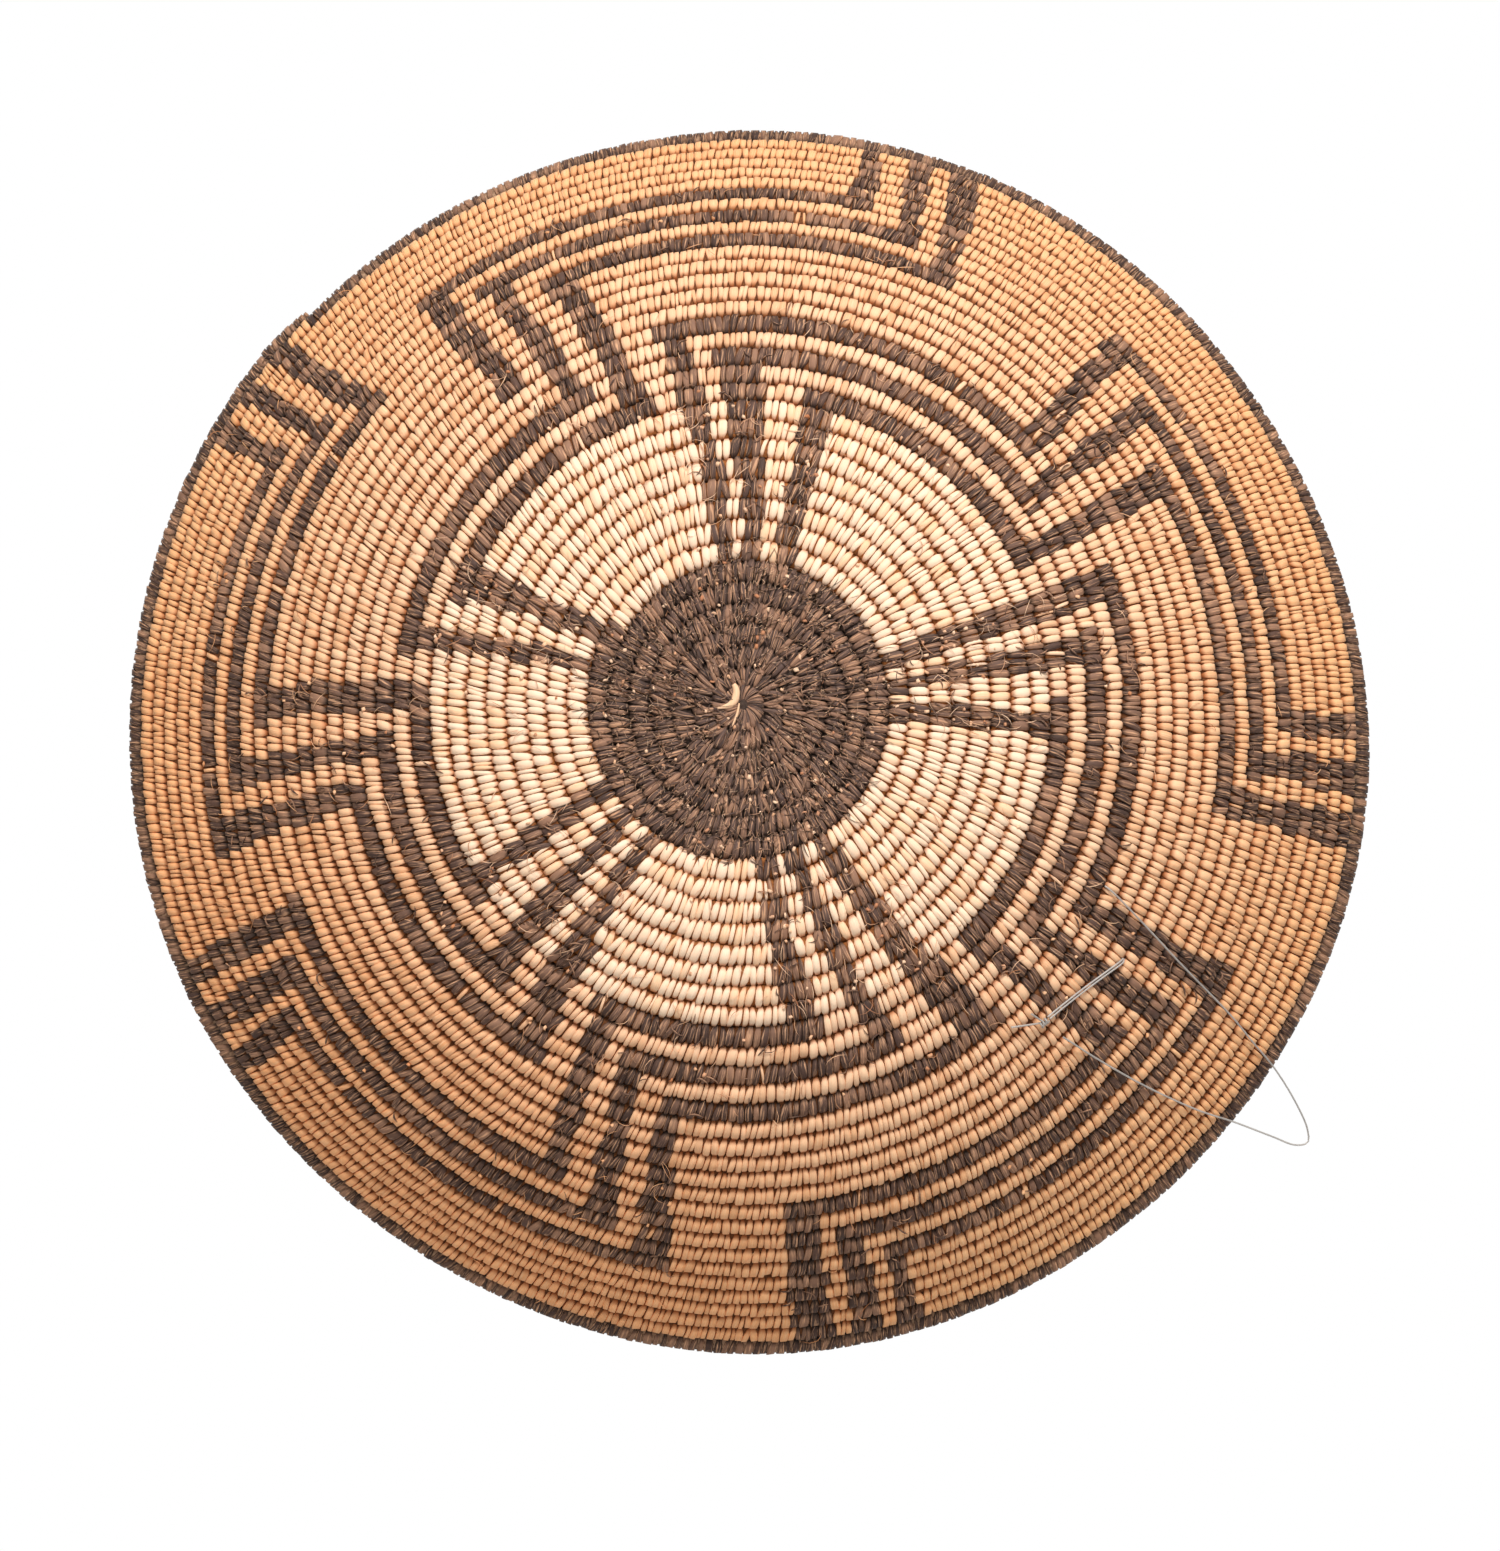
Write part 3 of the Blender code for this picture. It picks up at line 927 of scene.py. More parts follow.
    def strand(self, side: int) -> list[Vector]:
        """One of the two strands from the knot to the stitches that hold it.

        Args:
            side: One for the outer strand, minus one for the inner.

        Returns:
            The points that it follows.
        """
        spread = side * self.strand_spread / 2
        route = [self.place(point, spread) for point in self.strand_route]
        return self.smooth([*route, self.place(self.strand_entry, spread / 2)])

    def knot(self) -> list[list[Vector]]:
        """The overhand knot: two turns of the line round the doubled strands, and the two cut ends.

        Returns:
            The points that each of its lines follows.
        """
        centre = self.place(self.knot_place)
        along = (self.place(self.strand_route[1]) - centre).normalized()
        degrees, turns, _ = self.knot_place
        under = self.coil.wall.place(math.radians(degrees), float(self.coil.length_at(turns)), 0.0)
        side = along.cross((centre - Vector(under.tolist())).normalized()).normalized()
        out = side.cross(along)
        turn_radius = (self.knot_width - self.diameter) / 2
        routes = []
        for start, turns, tilt in self.wraps:
            points = []
            for step in range(self.wrap_steps + 1):
                share = step / self.wrap_steps
                angle = share * turns * FULL_TURN
                offset = (start + share * self.wrap_rise) * (self.knot_length - self.diameter)
                offset += tilt * turn_radius * math.cos(angle)
                reach = turn_radius * (1 - self.wrap_swell + self.wrap_swell * math.sin(angle / 2 + tilt))
                round_it = side * reach * math.cos(angle) + out * reach * math.sin(angle)
                points.append(centre + along * offset + round_it)
            routes.append(points)
        for end in self.tail_ends:
            place = self.place(end)
            routes.append([centre.lerp(place, step / self.tail_steps) for step in range(self.tail_steps + 1)])
        return routes

    def build(self) -> None:
        """The loop, its knot and its two strands."""
        material = self.finish()
        radius = self.diameter / 2
        places = self.smooth([self.place(point) for point in self.loop_route])
        loop = new_curve("hanging_loop_line", [places], radius, self.line_resolution)
        strands = [
            new_curve(f"anchor_strand_line_{number}", [self.strand(side)], radius, self.line_resolution)
            for number, side in ((1, 1), (2, -1))
        ]
        knot = new_curve("loop_knot_line", self.knot(), radius, self.knot_resolution)
        for piece, node in zip(
            (loop, *strands, knot), ("hanging_loop", "anchor_strand_1", "anchor_strand_2", "loop_knot")
        ):
            piece.data.materials.append(material)
            stand_for(piece, node)
        length = sum((b - a).length for a, b in zip(places, places[1:]))
        LOG.info("hanging loop: %.0f mm of line", length * 1000)


@dataclass(frozen=True)
class StitchBand:
    """One stitch as a closed band round the coil, made once on a ring of radius one."""

    around: int = 12
    across: int = 5
    thickness: float = 0.2
    squareness: float = 0.55

    def build(self) -> tuple[Array, Array]:
        """The band's points and faces.

        Returns:
            Points, each an angle round the coil, a share of the thickness and a share of the half width,
            and the faces as four point numbers each.
        """
        bpy.ops.object.select_all(action="DESELECT")
        bpy.ops.mesh.primitive_torus_add(
            major_segments=self.around, minor_segments=self.across,
            major_radius=1, minor_radius=self.thickness,
        )
        band = bpy.context.object
        work_mesh(band, partial(bpy.ops.transform.resize, value=(1, 1, 1 / self.thickness)))
        places, faces = taken_apart(band)
        angle = np.arctan2(places[:, 1], places[:, 0])
        depth = (1 - np.hypot(places[:, 0], places[:, 1])) / self.thickness
        return np.stack([angle, self.squared(depth), self.squared(places[:, 2])], axis=1), faces[:, ::-1]

    def squared(self, shares: Array) -> Array:
        """Shares pushed outwards from nought, so that a band's face is flat and its edges are steep."""
        return np.sign(shares) * np.abs(shares) ** self.squareness


@dataclass
class Section:
    """The coil's section: how far the sewing stands off the wall's middle surface."""

    coil: Coil
    flat_bulge: float = 0.00252
    wall_bulge: float = 0.00290
    fade: float = 0.012
    blunt: float = 2.1

    def bulge(self, length: Array) -> Array:
        """Half the coil's thickness at lengths along the wall."""
        height = np.maximum(self.coil.wall.place(0.0, length, 0.0)[..., 2] - self.coil.wall.base_height, 0)
        return part_way((self.flat_bulge, self.wall_bulge), 1 - np.exp(-height / self.fade))

    def bluntness(self, angle: Array) -> Array:
        """How far the blunt section reaches past an ellipse at an angle round the coil."""
        cosine, sine = np.abs(np.cos(angle)), np.abs(np.sin(angle))
        return (cosine**self.blunt + sine**self.blunt) ** (-1 / self.blunt)


@dataclass
class Sewing:
    """All the stitches of the bowl, laid side by side round the coil.

    A pair that is named a range or rounds has a lowest and a highest value, and a spread has a mean and
    a deviation. Of any other pair, the first value holds in the disc, in the field or where the work is
    neat, and the second beyond it.
    """

    section: Section
    pattern: Whirlwind
    band: StitchBand = StitchBand()
    seed: int = 7
    pitches: Pair = (0.00140, 0.00212)
    pitch_rounds: Pair = (3.5, 7.0)
    pitch_spread: Pair = (1.05, 0.17)
    pitch_range: Pair = (0.65, 1.5)
    pitch_drift: Triple = (0.10, 19.0, 47.0)
    grid_steps: int = 40000
    spare_share: float = 1.06
    fine_share: float = 0.14
    fine_width: float = 0.62
    slip_share: float = 0.02
    slip_width: float = 0.6
    slit_share: float = 0.16
    slit_width: float = 0.82
    torn_end: float = 5.6
    torn_fade: float = 2.5
    rough_range: Pair = (0.3, 1.0)
    wall_rounds: Pair = (8.0, 22.0)
    leans: Pair = (5.0, 6.5)
    lean_swings: Pair = (4.0, 6.5)
    lean_bearing: float = 245
    lean_noises: Pair = (0.07, 0.18)
    overlaps: Pair = (1.07, 1.08)
    side_overlaps: Pair = (0.00050, 0.00034)
    inner_widths: Pair = (0.30, 0.42)
    outer_widths: Pair = (0.42, 0.40)
    end_powers: Pair = (3.2, 3.3)
    rim_outer_width: float = 0.9
    rim_noise: float = 0.3
    middle_noises: Pair = (0.00019, 0.00037)
    rough_reach: float = 0.00040
    half_noise: float = 0.05
    bulge_spread: Pair = (0.985, 0.03)
    thin_width: float = 0.8
    thin_sink: float = 0.0006
    rough_sink: float = 0.0004
    bend_noise: float = 0.00010
    rough_corner: float = 0.08
    splint_thickness: float = 0.00125
    side_inset_share: float = 0.5
    tilt_spread: Pair = (0.03, 0.10)
    strip_length: float = 3
    strip_shift: float = 50
    # painted shade along a stitch's sides and at its ends, where it goes down between its neighbours
    beside_shades: Pair = (0.66, 0.36)
    end_shade_powers: Pair = (3.4, 2.5)
    end_shades: Pair = (1.0, 1.15)
    batch: Triple = (0.3, 97.0, 31.7)
    worn_tone: float = 0.6

    @property
    def coil(self) -> Coil:
        """The coil that the stitches go round."""
        return self.section.coil

    def grown(self, rounds: Array, span: Pair) -> Array:
        """How far each place has come from the first round of a span, nought, to its last round, one."""
        return np.clip((rounds - span[0]) / (span[1] - span[0]), 0, 1)

    def even_pitch(self, rounds: Array) -> Array:
        """The even width of a stitch: narrow in the disc, wider in the rest."""
        return part_way(self.pitches, self.grown(rounds, self.pitch_rounds))

    def positions(self, rng: np.random.Generator) -> tuple[Array, Array]:
        """Where the stitches stand.

        Args:
            rng: The source of the weaver's unevenness.

        Returns:
            Places along the coil in rounds, and each stitch's share of the even pitch.
        """
        grid = np.linspace(self.coil.start_round, self.coil.rounds, self.grid_steps + 1)
        density = self.coil.radius_at(grid) * FULL_TURN / self.even_pitch(grid)
        count = np.concatenate([[0], np.cumsum(density[1:] * np.diff(grid))])
        numbers = np.arange(int(count[-1] * self.spare_share))
        size, short, long = self.pitch_drift
        drift = 1 + size * np.sin(numbers / short) * np.sin(numbers / long + 1)
        shares = np.clip(rng.normal(*self.pitch_spread, len(numbers)), *self.pitch_range) * drift
        fine = rng.uniform(size=len(numbers)) < self.fine_share
        shares = np.where(fine, shares * self.fine_width, shares)
        ends = np.cumsum(shares)
        scale = count[-1] / ends[-1]
        return np.interp((ends - shares / 2) * scale, count, grid), shares * scale

    def messiness(self, rounds: Array) -> Array:
        """How roughly the sewing is done: most in the disc, some in the rest of the dark.

        Args:
            rounds: Places along the coil.

        Returns:
            Shares from nought to one.
        """
        disc = np.clip((self.torn_end - rounds) / self.torn_fade, *self.rough_range)
        rest = np.where(self.pattern.dark(rounds), self.rough_range[0], 0.0)
        return np.where(rounds < self.pattern.disc_end, disc, rest)

    def lean(self, rounds: Array, wall: Array) -> Array:
        """How far a stitch's outer end leans clockwise.

        Args:
            rounds: Places along the coil.
            wall: How far each has come from the field to the wall.

        Returns:
            Tangents of the angles.
        """
        turned = np.cos(FULL_TURN * rounds - math.radians(self.lean_bearing))
        return np.tan(np.radians(part_way(self.leans, wall) + part_way(self.lean_swings, wall) * turned))

    def lay(self, rounds: Array, shares: Array, rng: np.random.Generator) -> Laid:
        """Lays the given stitches round the coil.

        Args:
            rounds: Their places along the coil.
            shares: Their shares of the even pitch.
            rng: The source of the weaver's unevenness.

        Returns:
            The laid stitches.
        """
        template, faces = self.band.build()
        angle, depth, across = template.T[:, None]
        cosine, sine = np.cos(angle), np.sin(angle)
        rounds, shares = rounds[:, None], shares[:, None]
        each = rounds.shape
        inner, outer = self.coil.edges(rounds)
        rough = self.messiness(rounds)
        wall = self.grown(rounds, self.wall_rounds)
        rim = rounds >= self.pattern.rim_start
        noise = np.where(rim, self.rim_noise, 1.0)
        pairs = (self.overlaps, self.side_overlaps, self.inner_widths, self.outer_widths, self.end_powers)
        overlap, side_overlap, inner_width, outer_width, end_power = (part_way(ways, wall) for ways in pairs)
        middle = (inner + outer) / 2 + rng.normal(0, 1, each) * part_way(self.middle_noises, rough) * noise
        half = (outer - inner) / 2 + side_overlap + self.rough_reach * rough
        half = half * (1 + rng.normal(0, self.half_noise, each) * noise)
        width = self.even_pitch(rounds) * shares * self.pattern.narrow(rounds) * overlap / 2
        bulge = self.section.bulge(middle) * rng.normal(*self.bulge_spread, each)
        bulge = bulge - np.maximum(0, self.thin_width - shares) * self.thin_sink
        bulge = bulge - rng.uniform(0, self.rough_sink, each) * rough
        lean = self.lean(rounds, wall) + rng.normal(0, 1, each) * part_way(self.lean_noises, rough)
        bend = rng.normal(0, self.bend_noise, each)
        bluntness = self.section.bluntness(angle) * (1 + self.rough_corner * rough * np.sin(angle * 2) ** 2)
        inset = (1 - depth) / 2 * self.splint_thickness
        along_wall = (half * bluntness - inset * self.side_inset_share) * cosine
        tilt = rng.normal(*self.tilt_spread, each) * across * width
        off_wall = (bulge * bluntness - inset + tilt) * sine
        ends = np.abs(cosine) ** end_power
        kept = np.where(cosine < 0, inner_width, np.where(rim, self.rim_outer_width, outer_width))
        narrowing = 1 - (1 - kept) * ends
        aside = across * width * narrowing + lean * along_wall + bend * (1 - 2 * ends)
        bearing = FULL_TURN * rounds + aside / self.coil.radius_at(rounds)
        places = self.coil.wall.place(bearing, middle + along_wall, off_wall)
        along = (angle[0] / FULL_TURN % 1)[faces]
        wraps = (np.ptp(along, axis=1) > 0.5)[:, None] & (along < 0.5)
        along = np.where(wraps, along + 1, along) * self.strip_length
        shift = rng.uniform(0, self.strip_shift, (len(rounds), 1, 1, 2))
        # painted shade: darker along each stitch's sides and towards its ends, where it dips between its
        # neighbours
        beside = np.clip((1 - depth) / 2, 0, 1) * part_way(self.beside_shades, wall)
        at_ends = np.abs(cosine) ** part_way(self.end_shade_powers, wall) * part_way(self.end_shades, wall)
        size, fast, slow = self.batch
        batch = size * np.sin(rounds * fast) * np.sin(rounds * slow)
        worn = self.worn_tone * self.pattern.worn(rounds)
        numbers = {
            "tone": np.clip(rng.uniform(0, 1, each) + batch + worn, 0, 1),
            "row": rounds / self.coil.rounds,
            # the amount of painted shade that the finish lays on each point
            "groove": np.clip(beside + at_ends, 0, 1),
        }
        return Laid(places, faces, np.stack([along, across[0][faces]], axis=-1) + shift, numbers)

    def build(self, stretches: tuple[Stretch, ...], materials: dict[Splint, Material]) -> None:
        """All the stitches, divided by stretch and by the colour of their splints.

        Args:
            stretches: The coil's stretches, from the middle outwards.
            materials: The finish of each kind of splint.
        """
        rng = np.random.default_rng(self.seed)
        rounds, shares = self.positions(rng)
        dark = self.pattern.dark(rounds)
        rim = rounds >= self.pattern.rim_start
        plain = (rounds > self.pattern.disc_end) & ~rim
        slips = dark & plain & (rng.uniform(size=len(rounds)) < self.slip_share)
        dark &= ~slips
        shares = np.where(slips, shares * self.slip_width, shares)
        slits = rim & (rng.uniform(size=len(rounds)) < self.slit_share)
        shares = np.where(slits, shares * self.slit_width, shares)
        for stretch in stretches:
            inside = (rounds >= stretch.first) & (rounds < stretch.last)
            for shade, splint, chosen, parts in (
                ("dark", Splint.DARK, inside & dark, 1),
                ("light", stretch.light, inside & ~dark, stretch.pieces),
            ):
                for part, some in enumerate(np.array_split(np.flatnonzero(chosen), parts), 1):
                    if len(some):
                        name = stretch.node.replace("coil", f"{shade}_stitches_{part}")
                        laid = self.lay(rounds[some], shares[some], rng)
                        laid.piece(name, materials[splint], stretch.node, splint)
                        LOG.info("%s: %d stitches", name, len(some))


@dataclass
class Foundation:
    """The bundle inside the stitches, which shows only in the pits between them."""

    section: Section
    side_share: float = 1.04
    bulge_share: float = 0.66
    rim_bulge_share: float = 0.84
    points_per_round: int = 90
    sides: int = 10
    end_inset: float = 0.0005

    def build(self, stretch: Stretch, material: Material) -> None:
        """The bundle of one stretch.

        Args:
            stretch: The stretch of the coil.
            material: Its finish.
        """
        coil = self.section.coil
        steps = max(self.sides, round((stretch.last - stretch.first) * self.points_per_round))
        last = min(stretch.last, coil.rounds - self.end_inset)
        rounds = np.linspace(stretch.first, last, steps + 1)[:, None]
        angle = np.arange(self.sides) / self.sides * FULL_TURN
        inner, outer = coil.edges(rounds)
        middle, half = (inner + outer) / 2, (outer - inner) / 2 * self.side_share
        share = self.rim_bulge_share if stretch.node == "rim_coil" else self.bulge_share
        off_wall = self.section.bulge(middle) * share * np.sin(angle)
        places = coil.wall.place(FULL_TURN * rounds, middle + half * np.cos(angle), off_wall)
        splint = Splint.DARK if stretch.node in ("base_coil", "rim_coil") else stretch.light
        laid = Laid(places.reshape(1, -1, 3), self.faces(steps))
        name = stretch.node.replace("coil", "foundation")
        work_mesh(laid.piece(name, material, stretch.node, splint))
        LOG.info("foundation: %s", name)

    def faces(self, steps: int) -> Array:
        """The faces of a closed tube.

        Args:
            steps: The number of its lengths.

        Returns:
            Four point numbers for each face.
        """
        ring = np.arange(self.sides)
        following = (ring + 1) % self.sides
        start = (np.arange(steps) * self.sides)[:, None]
        far = start + self.sides
        walls = np.stack([start + ring, start + following, far + following, far + ring], axis=-1)
        caps = [
            [rim[0], rim[k + 2], rim[k + 1], rim[k]]
            for rim in (ring, ring[::-1] + steps * self.sides)
            for k in range(1, self.sides - 2, 2)
        ]
        return np.concatenate([walls.reshape(-1, 4), caps])


@dataclass(frozen=True)
class StartFoundation:
    """The flat ball of stems that the coil starts from."""

    wall: Wall
    radius: float = 0.0078
    half_height: float = 0.0014
    middle_height: float = 0.0024
    segments: int = 24
    rings: int = 12

    def build(self, material: Material) -> None:
        """The ball under the start stitches.

        Args:
            material: Its finish.
        """
        bpy.ops.object.select_all(action="DESELECT")
        bpy.ops.mesh.primitive_uv_sphere_add(
            segments=self.segments, ring_count=self.rings, radius=self.radius
        )
        piece = bpy.context.object
        piece.name = "start_foundation"
        work_mesh(
            piece,
            partial(bpy.ops.transform.resize, value=(1, 1, self.half_height / self.radius)),
            partial(bpy.ops.transform.translate, value=(*self.wall.middle, self.middle_height)),
        )
        bpy.ops.object.shade_smooth()
        piece.data.materials.append(material)
        stand_for(piece, "start_knot")
        LOG.info("start: %s", piece.name)


@dataclass
class StartKnot:
    """The start of the coil: narrow stitches that all pass through the middle."""

    sewing: Sewing
    count: int = 26
    overlap: float = 0.0008
    start_depth: float = 0.0009
    bearing_range: Pair = (-0.3, 0.3)
    length_range: Pair = (0.93, 1.05)
    bulge_spread: Pair = (0.98, 0.03)
    step_width: float = 0.03
    end_inset_share: float = 0.3
    roundness: float = 0.6
    twist: float = 0.35
    width_share: float = 1.15
    least_distance: float = 0.0008
    strip_length: float = 1.5
    strip_shift: float = 40
    # painted shade along the edges of the start stitches
    edge_shade: float = 0.7

    def build(self, material: Material) -> None:
        """The ring of stitches in the middle.

        Args:
            material: Their finish.
        """
        sewing, coil, wall = self.sewing, self.sewing.coil, self.sewing.coil.wall
        rng = np.random.default_rng(sewing.seed + 1)
        template, faces = sewing.band.build()
        angle, depth, across = template.T[:, None]
        each = (self.count, 1)
        numbers = np.arange(self.count)[:, None] + rng.uniform(*self.bearing_range, each)
        bearing = numbers * FULL_TURN / self.count
        turned = bearing / FULL_TURN % 1
        seat = np.maximum(coil.knot_radius, coil.outer_edge(np.minimum(turned, coil.start_round)))
        seat = np.where(turned > coil.start_round + self.step_width, coil.knot_radius, seat)
        reach = seat + self.overlap
        length = rng.uniform(*self.length_range, each) * reach
        inset = (1 - depth) / 2 * sewing.splint_thickness
        distance = length / 2 * (1 + np.cos(angle)) - inset * np.cos(angle) * self.end_inset_share
        bulge = sewing.section.flat_bulge - self.start_depth * (1 - distance / reach)
        bulge = bulge * rng.normal(*self.bulge_spread, each)
        off = (bulge * np.abs(np.sin(angle)) ** self.roundness - inset) * np.sign(np.sin(angle))
        bearing = bearing + distance / reach * self.twist
        aside = across * self.width_share * math.pi * np.maximum(distance, self.least_distance) / self.count
        x = wall.middle[0] + distance * np.sin(bearing) + aside * np.cos(bearing)
        y = wall.middle[1] - distance * np.cos(bearing) + aside * np.sin(bearing)
        places = np.stack([x, y, wall.base_height + wall.flat_lift - off], axis=-1)
        along = np.abs(angle[0])[faces] / math.pi * self.strip_length
        shift = rng.uniform(0, self.strip_shift, (self.count, 1, 1, 2))
        numbers = {
            "tone": rng.uniform(0, 1, each),
            "row": np.zeros(each),
            # painted shade towards each start stitch's edges
            "groove": np.clip((1 - depth) / 2, 0, 1) * self.edge_shade,
        }
        laid = Laid(places, faces, np.stack([along, across[0][faces]], axis=-1) + shift, numbers)
        LOG.info("start: %s", laid.piece("start_knot_stitches", material, "start_knot", Splint.DARK).name)


@dataclass(frozen=True)
class Scatter:
    """Loose ends of one kind: how large they are, how high they lie and how many each stretch has."""

    kind: str
    splint: Splint
    lengths: Pair
    widths: Pair
    rise: Pair
    taper: float
    dark_share: float
    counts: tuple[int, ...]


@dataclass
class LooseEnds:
    """Frayed fibres, split strands and clipped ends of splints on the outer side."""

    sewing: Sewing
    steps: int = 4
    kinds: tuple = (
        Scatter("fibres", Splint.TAN, (0.0020, 0.007), (0.00010, 0.00020), (-0.0003, 0.0004), 0.2, 0.85,
                (950, 420, 260, 130, 0)),
        Scatter("strands", Splint.DARK, (0.0020, 0.0050), (0.00022, 0.00045), (-0.0005, 0.0001), 0.3, 1.0,
                (700, 260, 280, 180, 0)),
        Scatter("clipped_ends", Splint.TAN, (0.0007, 0.0015), (0.0006, 0.0010), (-0.0008, -0.0002), 0.8, 0.95,
                (120, 170, 70, 20, 0)),
    )
    tries: int = 12
    heading_spread: Pair = (math.radians(80), 0.5)
    curl: float = 0.6
    arch_range: Pair = (0.1, 0.9)
    strip_length: float = 2
    strip_shift: float = 40
    most_groove: float = 0.75

    def sliver(self) -> tuple[Array, Array]:
        """A straight four-sided sliver from 0 to 1 along z, half a unit to each side.

        Returns:
            Its points and its faces.
        """
        bpy.ops.object.select_all(action="DESELECT")
        bpy.ops.mesh.primitive_plane_add(size=1)
        sliver = bpy.context.object
        step = {"value": (0, 0, 1 / self.steps)}
        extrude = partial(bpy.ops.mesh.extrude_region_move, TRANSFORM_OT_translate=step)
        work_mesh(sliver, *[extrude] * self.steps)
        return taken_apart(sliver)

    def places_for(self, stretch: Stretch, count: int, dark_share: float, rng: np.random.Generator) -> Array:
        """Where some loose ends start, mostly among the dark stitches.

        Args:
            stretch: The stretch of the coil.
            count: How many there are.
            dark_share: The share that lies on dark stitches only.
            rng: The source of chance.

        Returns:
            Places along the coil in rounds.
        """
        tried = np.sqrt(rng.uniform(stretch.first**2, stretch.last**2, count * self.tries))
        dark = self.sewing.pattern.dark(tried)
        kept = tried[dark | (rng.uniform(size=len(tried)) > dark_share)]
        return kept[:count]

    def lay(
        self, scatter: Scatter, rounds: Array, form: tuple[Array, Array], rng: np.random.Generator
    ) -> Laid:
        """Lays loose ends of one kind.

        Args:
            scatter: Their kind.
            rounds: Where they start, in rounds.
            form: The points and faces of one.
            rng: The source of chance.

        Returns:
            The laid ends.
        """
        template, faces = form
        aside, inwards, share = template.T[:, None]
        coil = self.sewing.coil
        rounds = rounds[:, None]
        each = rounds.shape
        length, width = rng.uniform(*scatter.lengths, each), rng.uniform(*scatter.widths, each)
        inner, outer = coil.edges(rounds)
        start = inner + (outer - inner) * rng.uniform(0, 1, each)
        heading = rng.normal(*self.heading_spread, each) + math.pi * (rng.uniform(size=each) < 0.5)
        turn = heading + rng.normal(0, self.curl, each) * share
        reach = share * length
        narrowed = width * (1 - (1 - scatter.taper) * np.abs(share * 2 - 1) ** 2)
        across = aside * narrowed
        sideways = reach * np.cos(turn) - across * np.sin(turn)
        middle = start + reach * np.sin(turn) + across * np.cos(turn)
        arch = np.sin(math.pi * part_way(self.arch_range, share))
        lift = self.sewing.section.bulge(middle) + part_way(scatter.rise, arch) + inwards * narrowed
        bearing = FULL_TURN * rounds + sideways / coil.radius_at(rounds)
        places = coil.wall.place(bearing, np.clip(middle, 0, coil.outer_edge(coil.rounds)), lift)
        shift = rng.uniform(0, self.strip_shift, (len(rounds), 1, 1, 2))
        strips = np.stack([share[0][faces] * self.strip_length, aside[0][faces]], axis=-1) + shift
        numbers = {
            "tone": rng.uniform(0, 1, each),
            "row": rounds / coil.rounds,
            "groove": rng.uniform(0, self.most_groove, each) * (scatter.splint is Splint.TAN),
        }
        return Laid(places, faces, strips, numbers)

    def build(self, stretches: tuple[Stretch, ...], materials: dict[Splint, Material]) -> None:
        """Scatters every kind of loose end over every stretch.

        Args:
            stretches: The coil's stretches, from the middle outwards.
            materials: The finish of each kind of splint.
        """
        form = self.sliver()
        rng = np.random.default_rng(self.sewing.seed + 2)
        for scatter in self.kinds:
            for stretch, wanted in zip(stretches, scatter.counts):
                if wanted:
                    rounds = self.places_for(stretch, wanted, scatter.dark_share, rng)
                    name = stretch.node.replace("coil", scatter.kind)
                    laid = self.lay(scatter, rounds, form, rng)
                    laid.piece(name, materials[scatter.splint], stretch.node, scatter.splint)
                    LOG.info("%s: %d", name, len(rounds))


@dataclass(frozen=True)
class StartStub:
    """The pale end of the first splint, bent over the middle of the start, and a sliver beside it.

    Route points are offsets from the middle of the bowl, in metres, and half the thickness there.
    """

    wall: Wall
    stub: tuple = (
        (-0.0026, -0.0056, 0.00060), (-0.0018, -0.0044, 0.00105), (-0.0018, -0.0028, 0.00120),
        (-0.0023, -0.0010, 0.00125), (-0.0036, 0.0003, 0.00110), (-0.0050, 0.0007, 0.00060),
        (-0.0070, 0.0012, 0.00025),
    )
    sliver: tuple = (
        (-0.0010, -0.0002, 0.00020), (-0.0013, 0.0018, 0.00036), (-0.0020, 0.0040, 0.00036),
        (-0.0031, 0.0064, 0.00014),
    )
    steps: int = 5
    resolution: int = 2
    doubles: float = 0.00001
    strip_scale: Pair = (300, 1200)
    tone: float = 0.85
    row: float = 0.6
    groove: float = 0.28

    def build(self, material: Material) -> None:
        """The stub and the sliver.

        Args:
            material: The pale splints' finish.
        """
        x, y = self.wall.middle
        for name, route in (("start_stub", self.stub), ("start_sliver", self.sliver)):
            places = [(x + across, y + down, half) for across, down, half in route]
            curve = new_curve(name, [places], 1, self.resolution, "NURBS")
            curve.data.resolution_u = self.steps
            spline = curve.data.splines[0]
            spline.use_endpoint_u = True
            spline.order_u = 3
            for point, (_, _, half) in zip(spline.points, route):
                point.radius = half
            pick(curve)
            bpy.ops.object.convert(target="MESH")
            piece = bpy.context.object
            work_mesh(piece, partial(bpy.ops.mesh.remove_doubles, threshold=self.doubles))
            bpy.ops.object.shade_smooth()
            mesh = piece.data
            mesh.materials.clear()
            mesh.materials.append(material)
            flat = np.array([mesh.vertices[corner.vertex_index].co[:2] for corner in mesh.loops])
            fields = {"tone": self.tone, "row": self.row, "groove": self.groove}
            numbers = {label: np.full(len(mesh.vertices), value) for label, value in fields.items()}
            store_strips(piece, flat[:, ::-1] * self.strip_scale, numbers)
            stand_for(piece, "start_knot")
            LOG.info("%s", name)


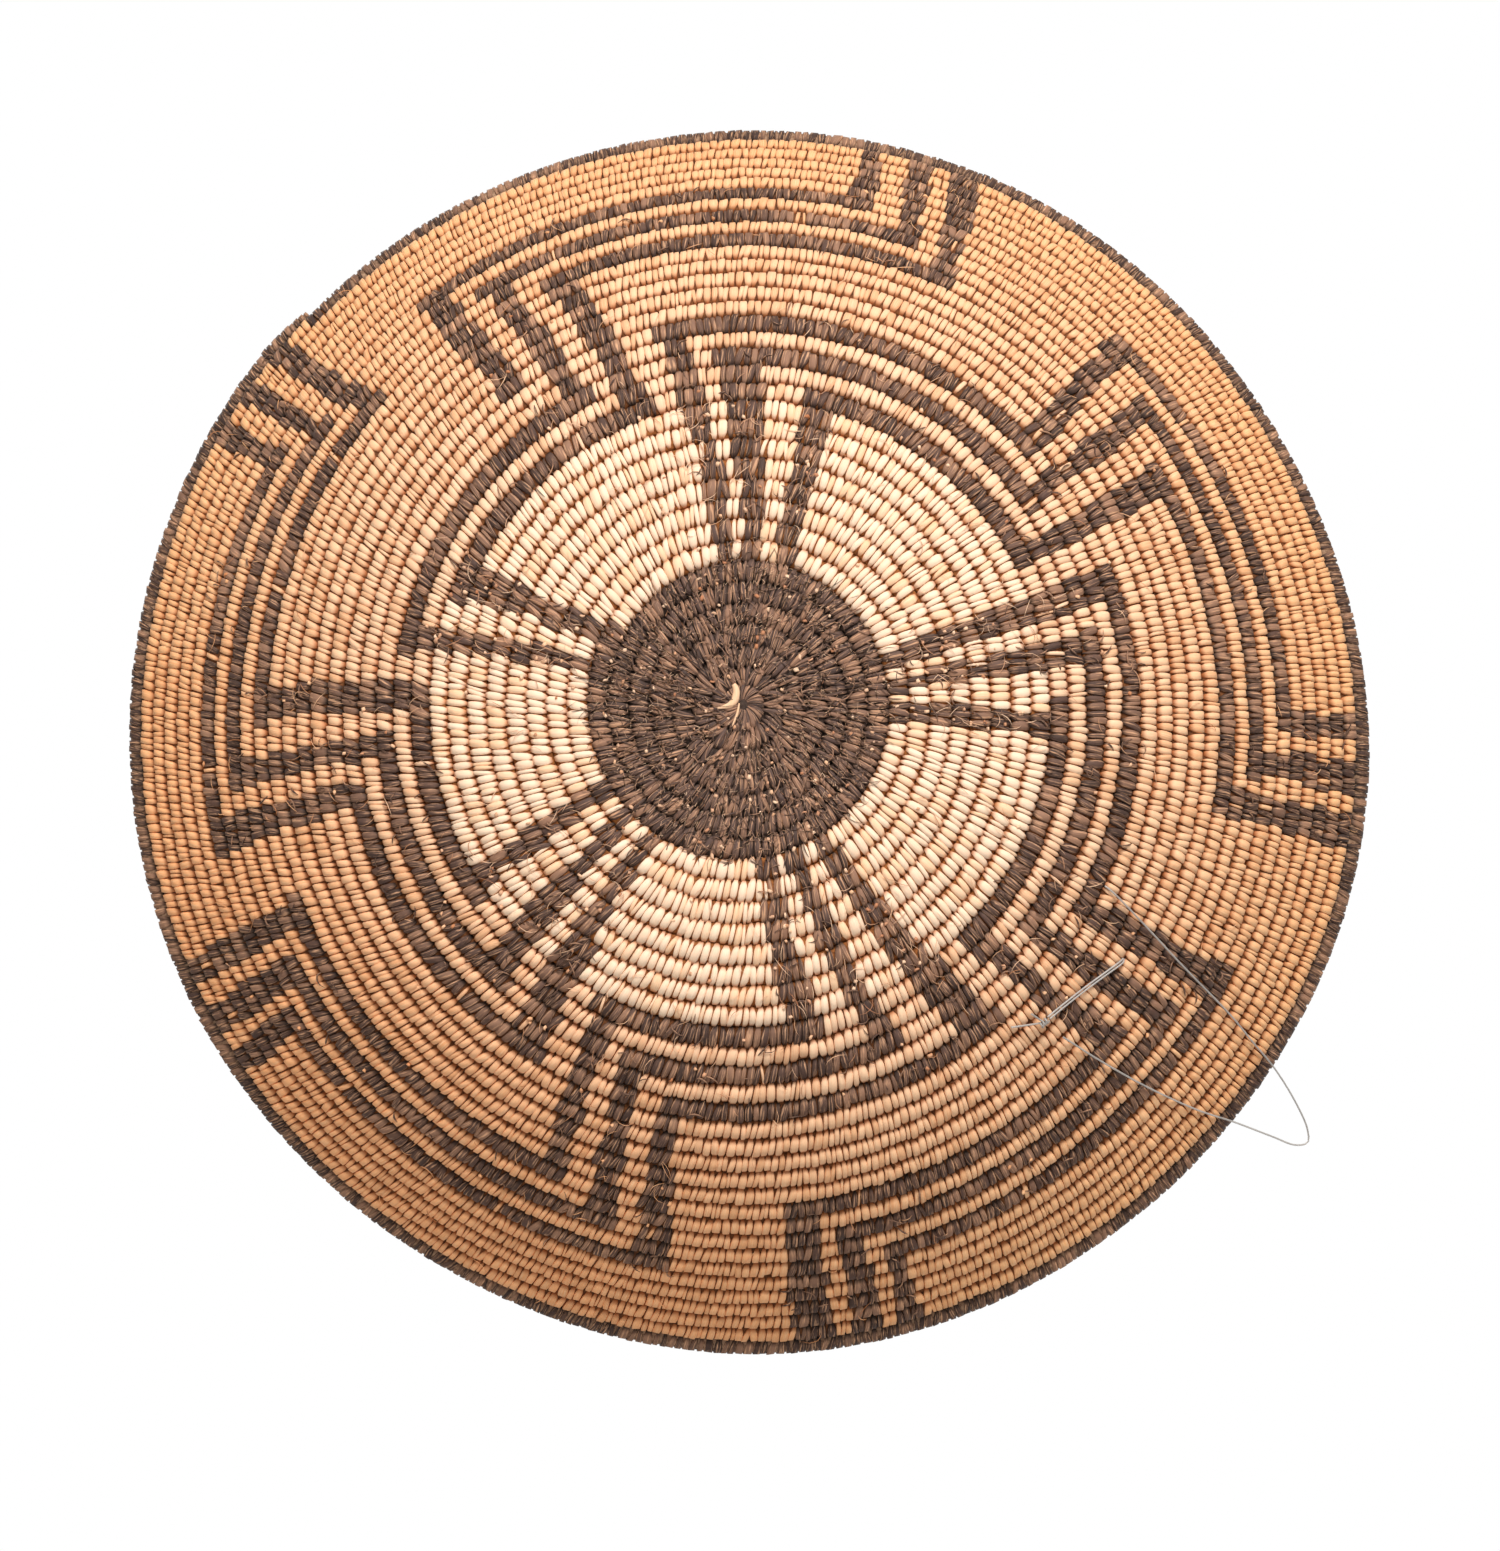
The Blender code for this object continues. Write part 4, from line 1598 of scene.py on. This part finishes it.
@dataclass
class Studio:
    """The plain pale floor, the white surround and the soft lamps."""

    floor_size: float = 8.0
    floor_colour: Triple = (0.82, 0.82, 0.81)
    ambient: float = 0.42
    lamp_aim: Triple = (0, 0, 0.04)
    lamps: tuple = (
        ("lower_key_lamp", (0.36, -1.31, -1.45), 0.8, 46),
        ("lower_fill_lamp", (-0.4, 1.0, -1.7), 1.2, 7.5),
        ("upper_key_lamp", (-0.9, -1.0, 1.9), 1.3, 34),
        ("upper_fill_lamp", (1.2, 0.9, 1.6), 1.3, 14),
    )

    def build(self) -> None:
        """Puts up the floor, the world and the lamps."""
        self.floor()
        self.world()
        for name, place, size, power in self.lamps:
            self.lamp(name, place, size, power)

    def floor(self) -> None:
        """A pale floor that is seen from above only and lets the lower lamps through."""
        bpy.ops.object.select_all(action="DESELECT")
        bpy.ops.mesh.primitive_plane_add(size=self.floor_size, location=(0, 0, 0))
        floor = bpy.context.object
        floor.name = "studio_floor"
        floor.visible_shadow = False
        floor.visible_diffuse = False
        made = bpy.data.materials.new("studio_floor")
        shading = Shading(made)
        shading.tree.nodes.remove(shading.tree.nodes["Principled BSDF"])
        below = shading.add("NewGeometry", {}, "Backfacing")
        paint = shading.add("BsdfDiffuse", {"Color": (*self.floor_colour, 1)})
        either = shading.add("MixShader", {0: below, 1: paint, 2: shading.add("BsdfTransparent", {})})
        shading.feed(shading.tree.nodes["Material Output"], {"Surface": either})
        floor.data.materials.append(made)

    def world(self) -> None:
        """White behind the bowl and soft light all round."""
        world = bpy.data.worlds.new("studio")
        bpy.context.scene.world = world
        shading = Shading(world)
        shading.tree.nodes.clear()
        white = (1, 1, 1, 1)
        soft, full = (
            shading.add("Background", {"Color": white, "Strength": power}) for power in (self.ambient, 1)
        )
        rays = shading.tree.nodes.new("ShaderNodeLightPath").outputs
        seen = rays["Is Camera Ray"]
        for name in ("Is Glossy Ray", "Is Transmission Ray"):
            seen = shading.add("Math", {0: seen, 1: rays[name]}, operation="MAXIMUM")
        either = shading.add("MixShader", {0: seen, 1: soft, 2: full})
        shading.feed(shading.tree.nodes.new("ShaderNodeOutputWorld"), {"Surface": either})

    def lamp(self, name: str, place: Triple, size: float, power: float) -> None:
        """A soft square lamp that faces the bowl.

        Args:
            name: The lamp's name.
            place: Where it hangs.
            size: The length of its sides.
            power: Its power in watts.
        """
        data = bpy.data.lights.new(name, "AREA")
        data.size = size
        data.energy = power
        lamp = bpy.data.objects.new(name, data)
        bpy.context.scene.collection.objects.link(lamp)
        lamp.location = place
        lamp.rotation_euler = (Vector(place) - Vector(self.lamp_aim)).to_track_quat("Z", "Y").to_euler()


def main() -> None:
    """Builds the camera, the line, the sewing and the studio, and reports each piece."""
    logging.basicConfig(level=logging.INFO, format="%(name)s: %(message)s")
    bpy.context.scene.view_settings.view_transform = "Standard"
    PhotoCamera().build()
    low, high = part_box("start_knot")
    wall = Wall(middle=((low[0] + high[0]) / 2, (low[1] + high[1]) / 2))
    coil = Coil(wall=wall)
    HangingLoop(coil).build()
    stretches = coil.stretches()
    materials = {finish.slot: finish.material() for finish in (PALE_FINISH, TAN_FINISH, DARK_FINISH)}
    section = Section(coil)
    foundation = Foundation(section)
    stems = {finish: finish.material() for finish in (WALL_STEMS, DISC_STEMS, RIM_STEMS, FIELD_STEMS)}
    for stretch, finish in zip(stretches, (DISC_STEMS, FIELD_STEMS, WALL_STEMS, WALL_STEMS, RIM_STEMS)):
        foundation.build(stretch, stems[finish])
    sewing = Sewing(section, Whirlwind())
    sewing.build(stretches, materials)
    StartFoundation(wall).build(stems[DISC_STEMS])
    StartKnot(sewing).build(materials[Splint.DARK])
    LooseEnds(sewing).build(stretches, materials)
    StartStub(wall).build(materials[Splint.PALE])
    Studio().build()


if __name__ == "__main__":
    main()
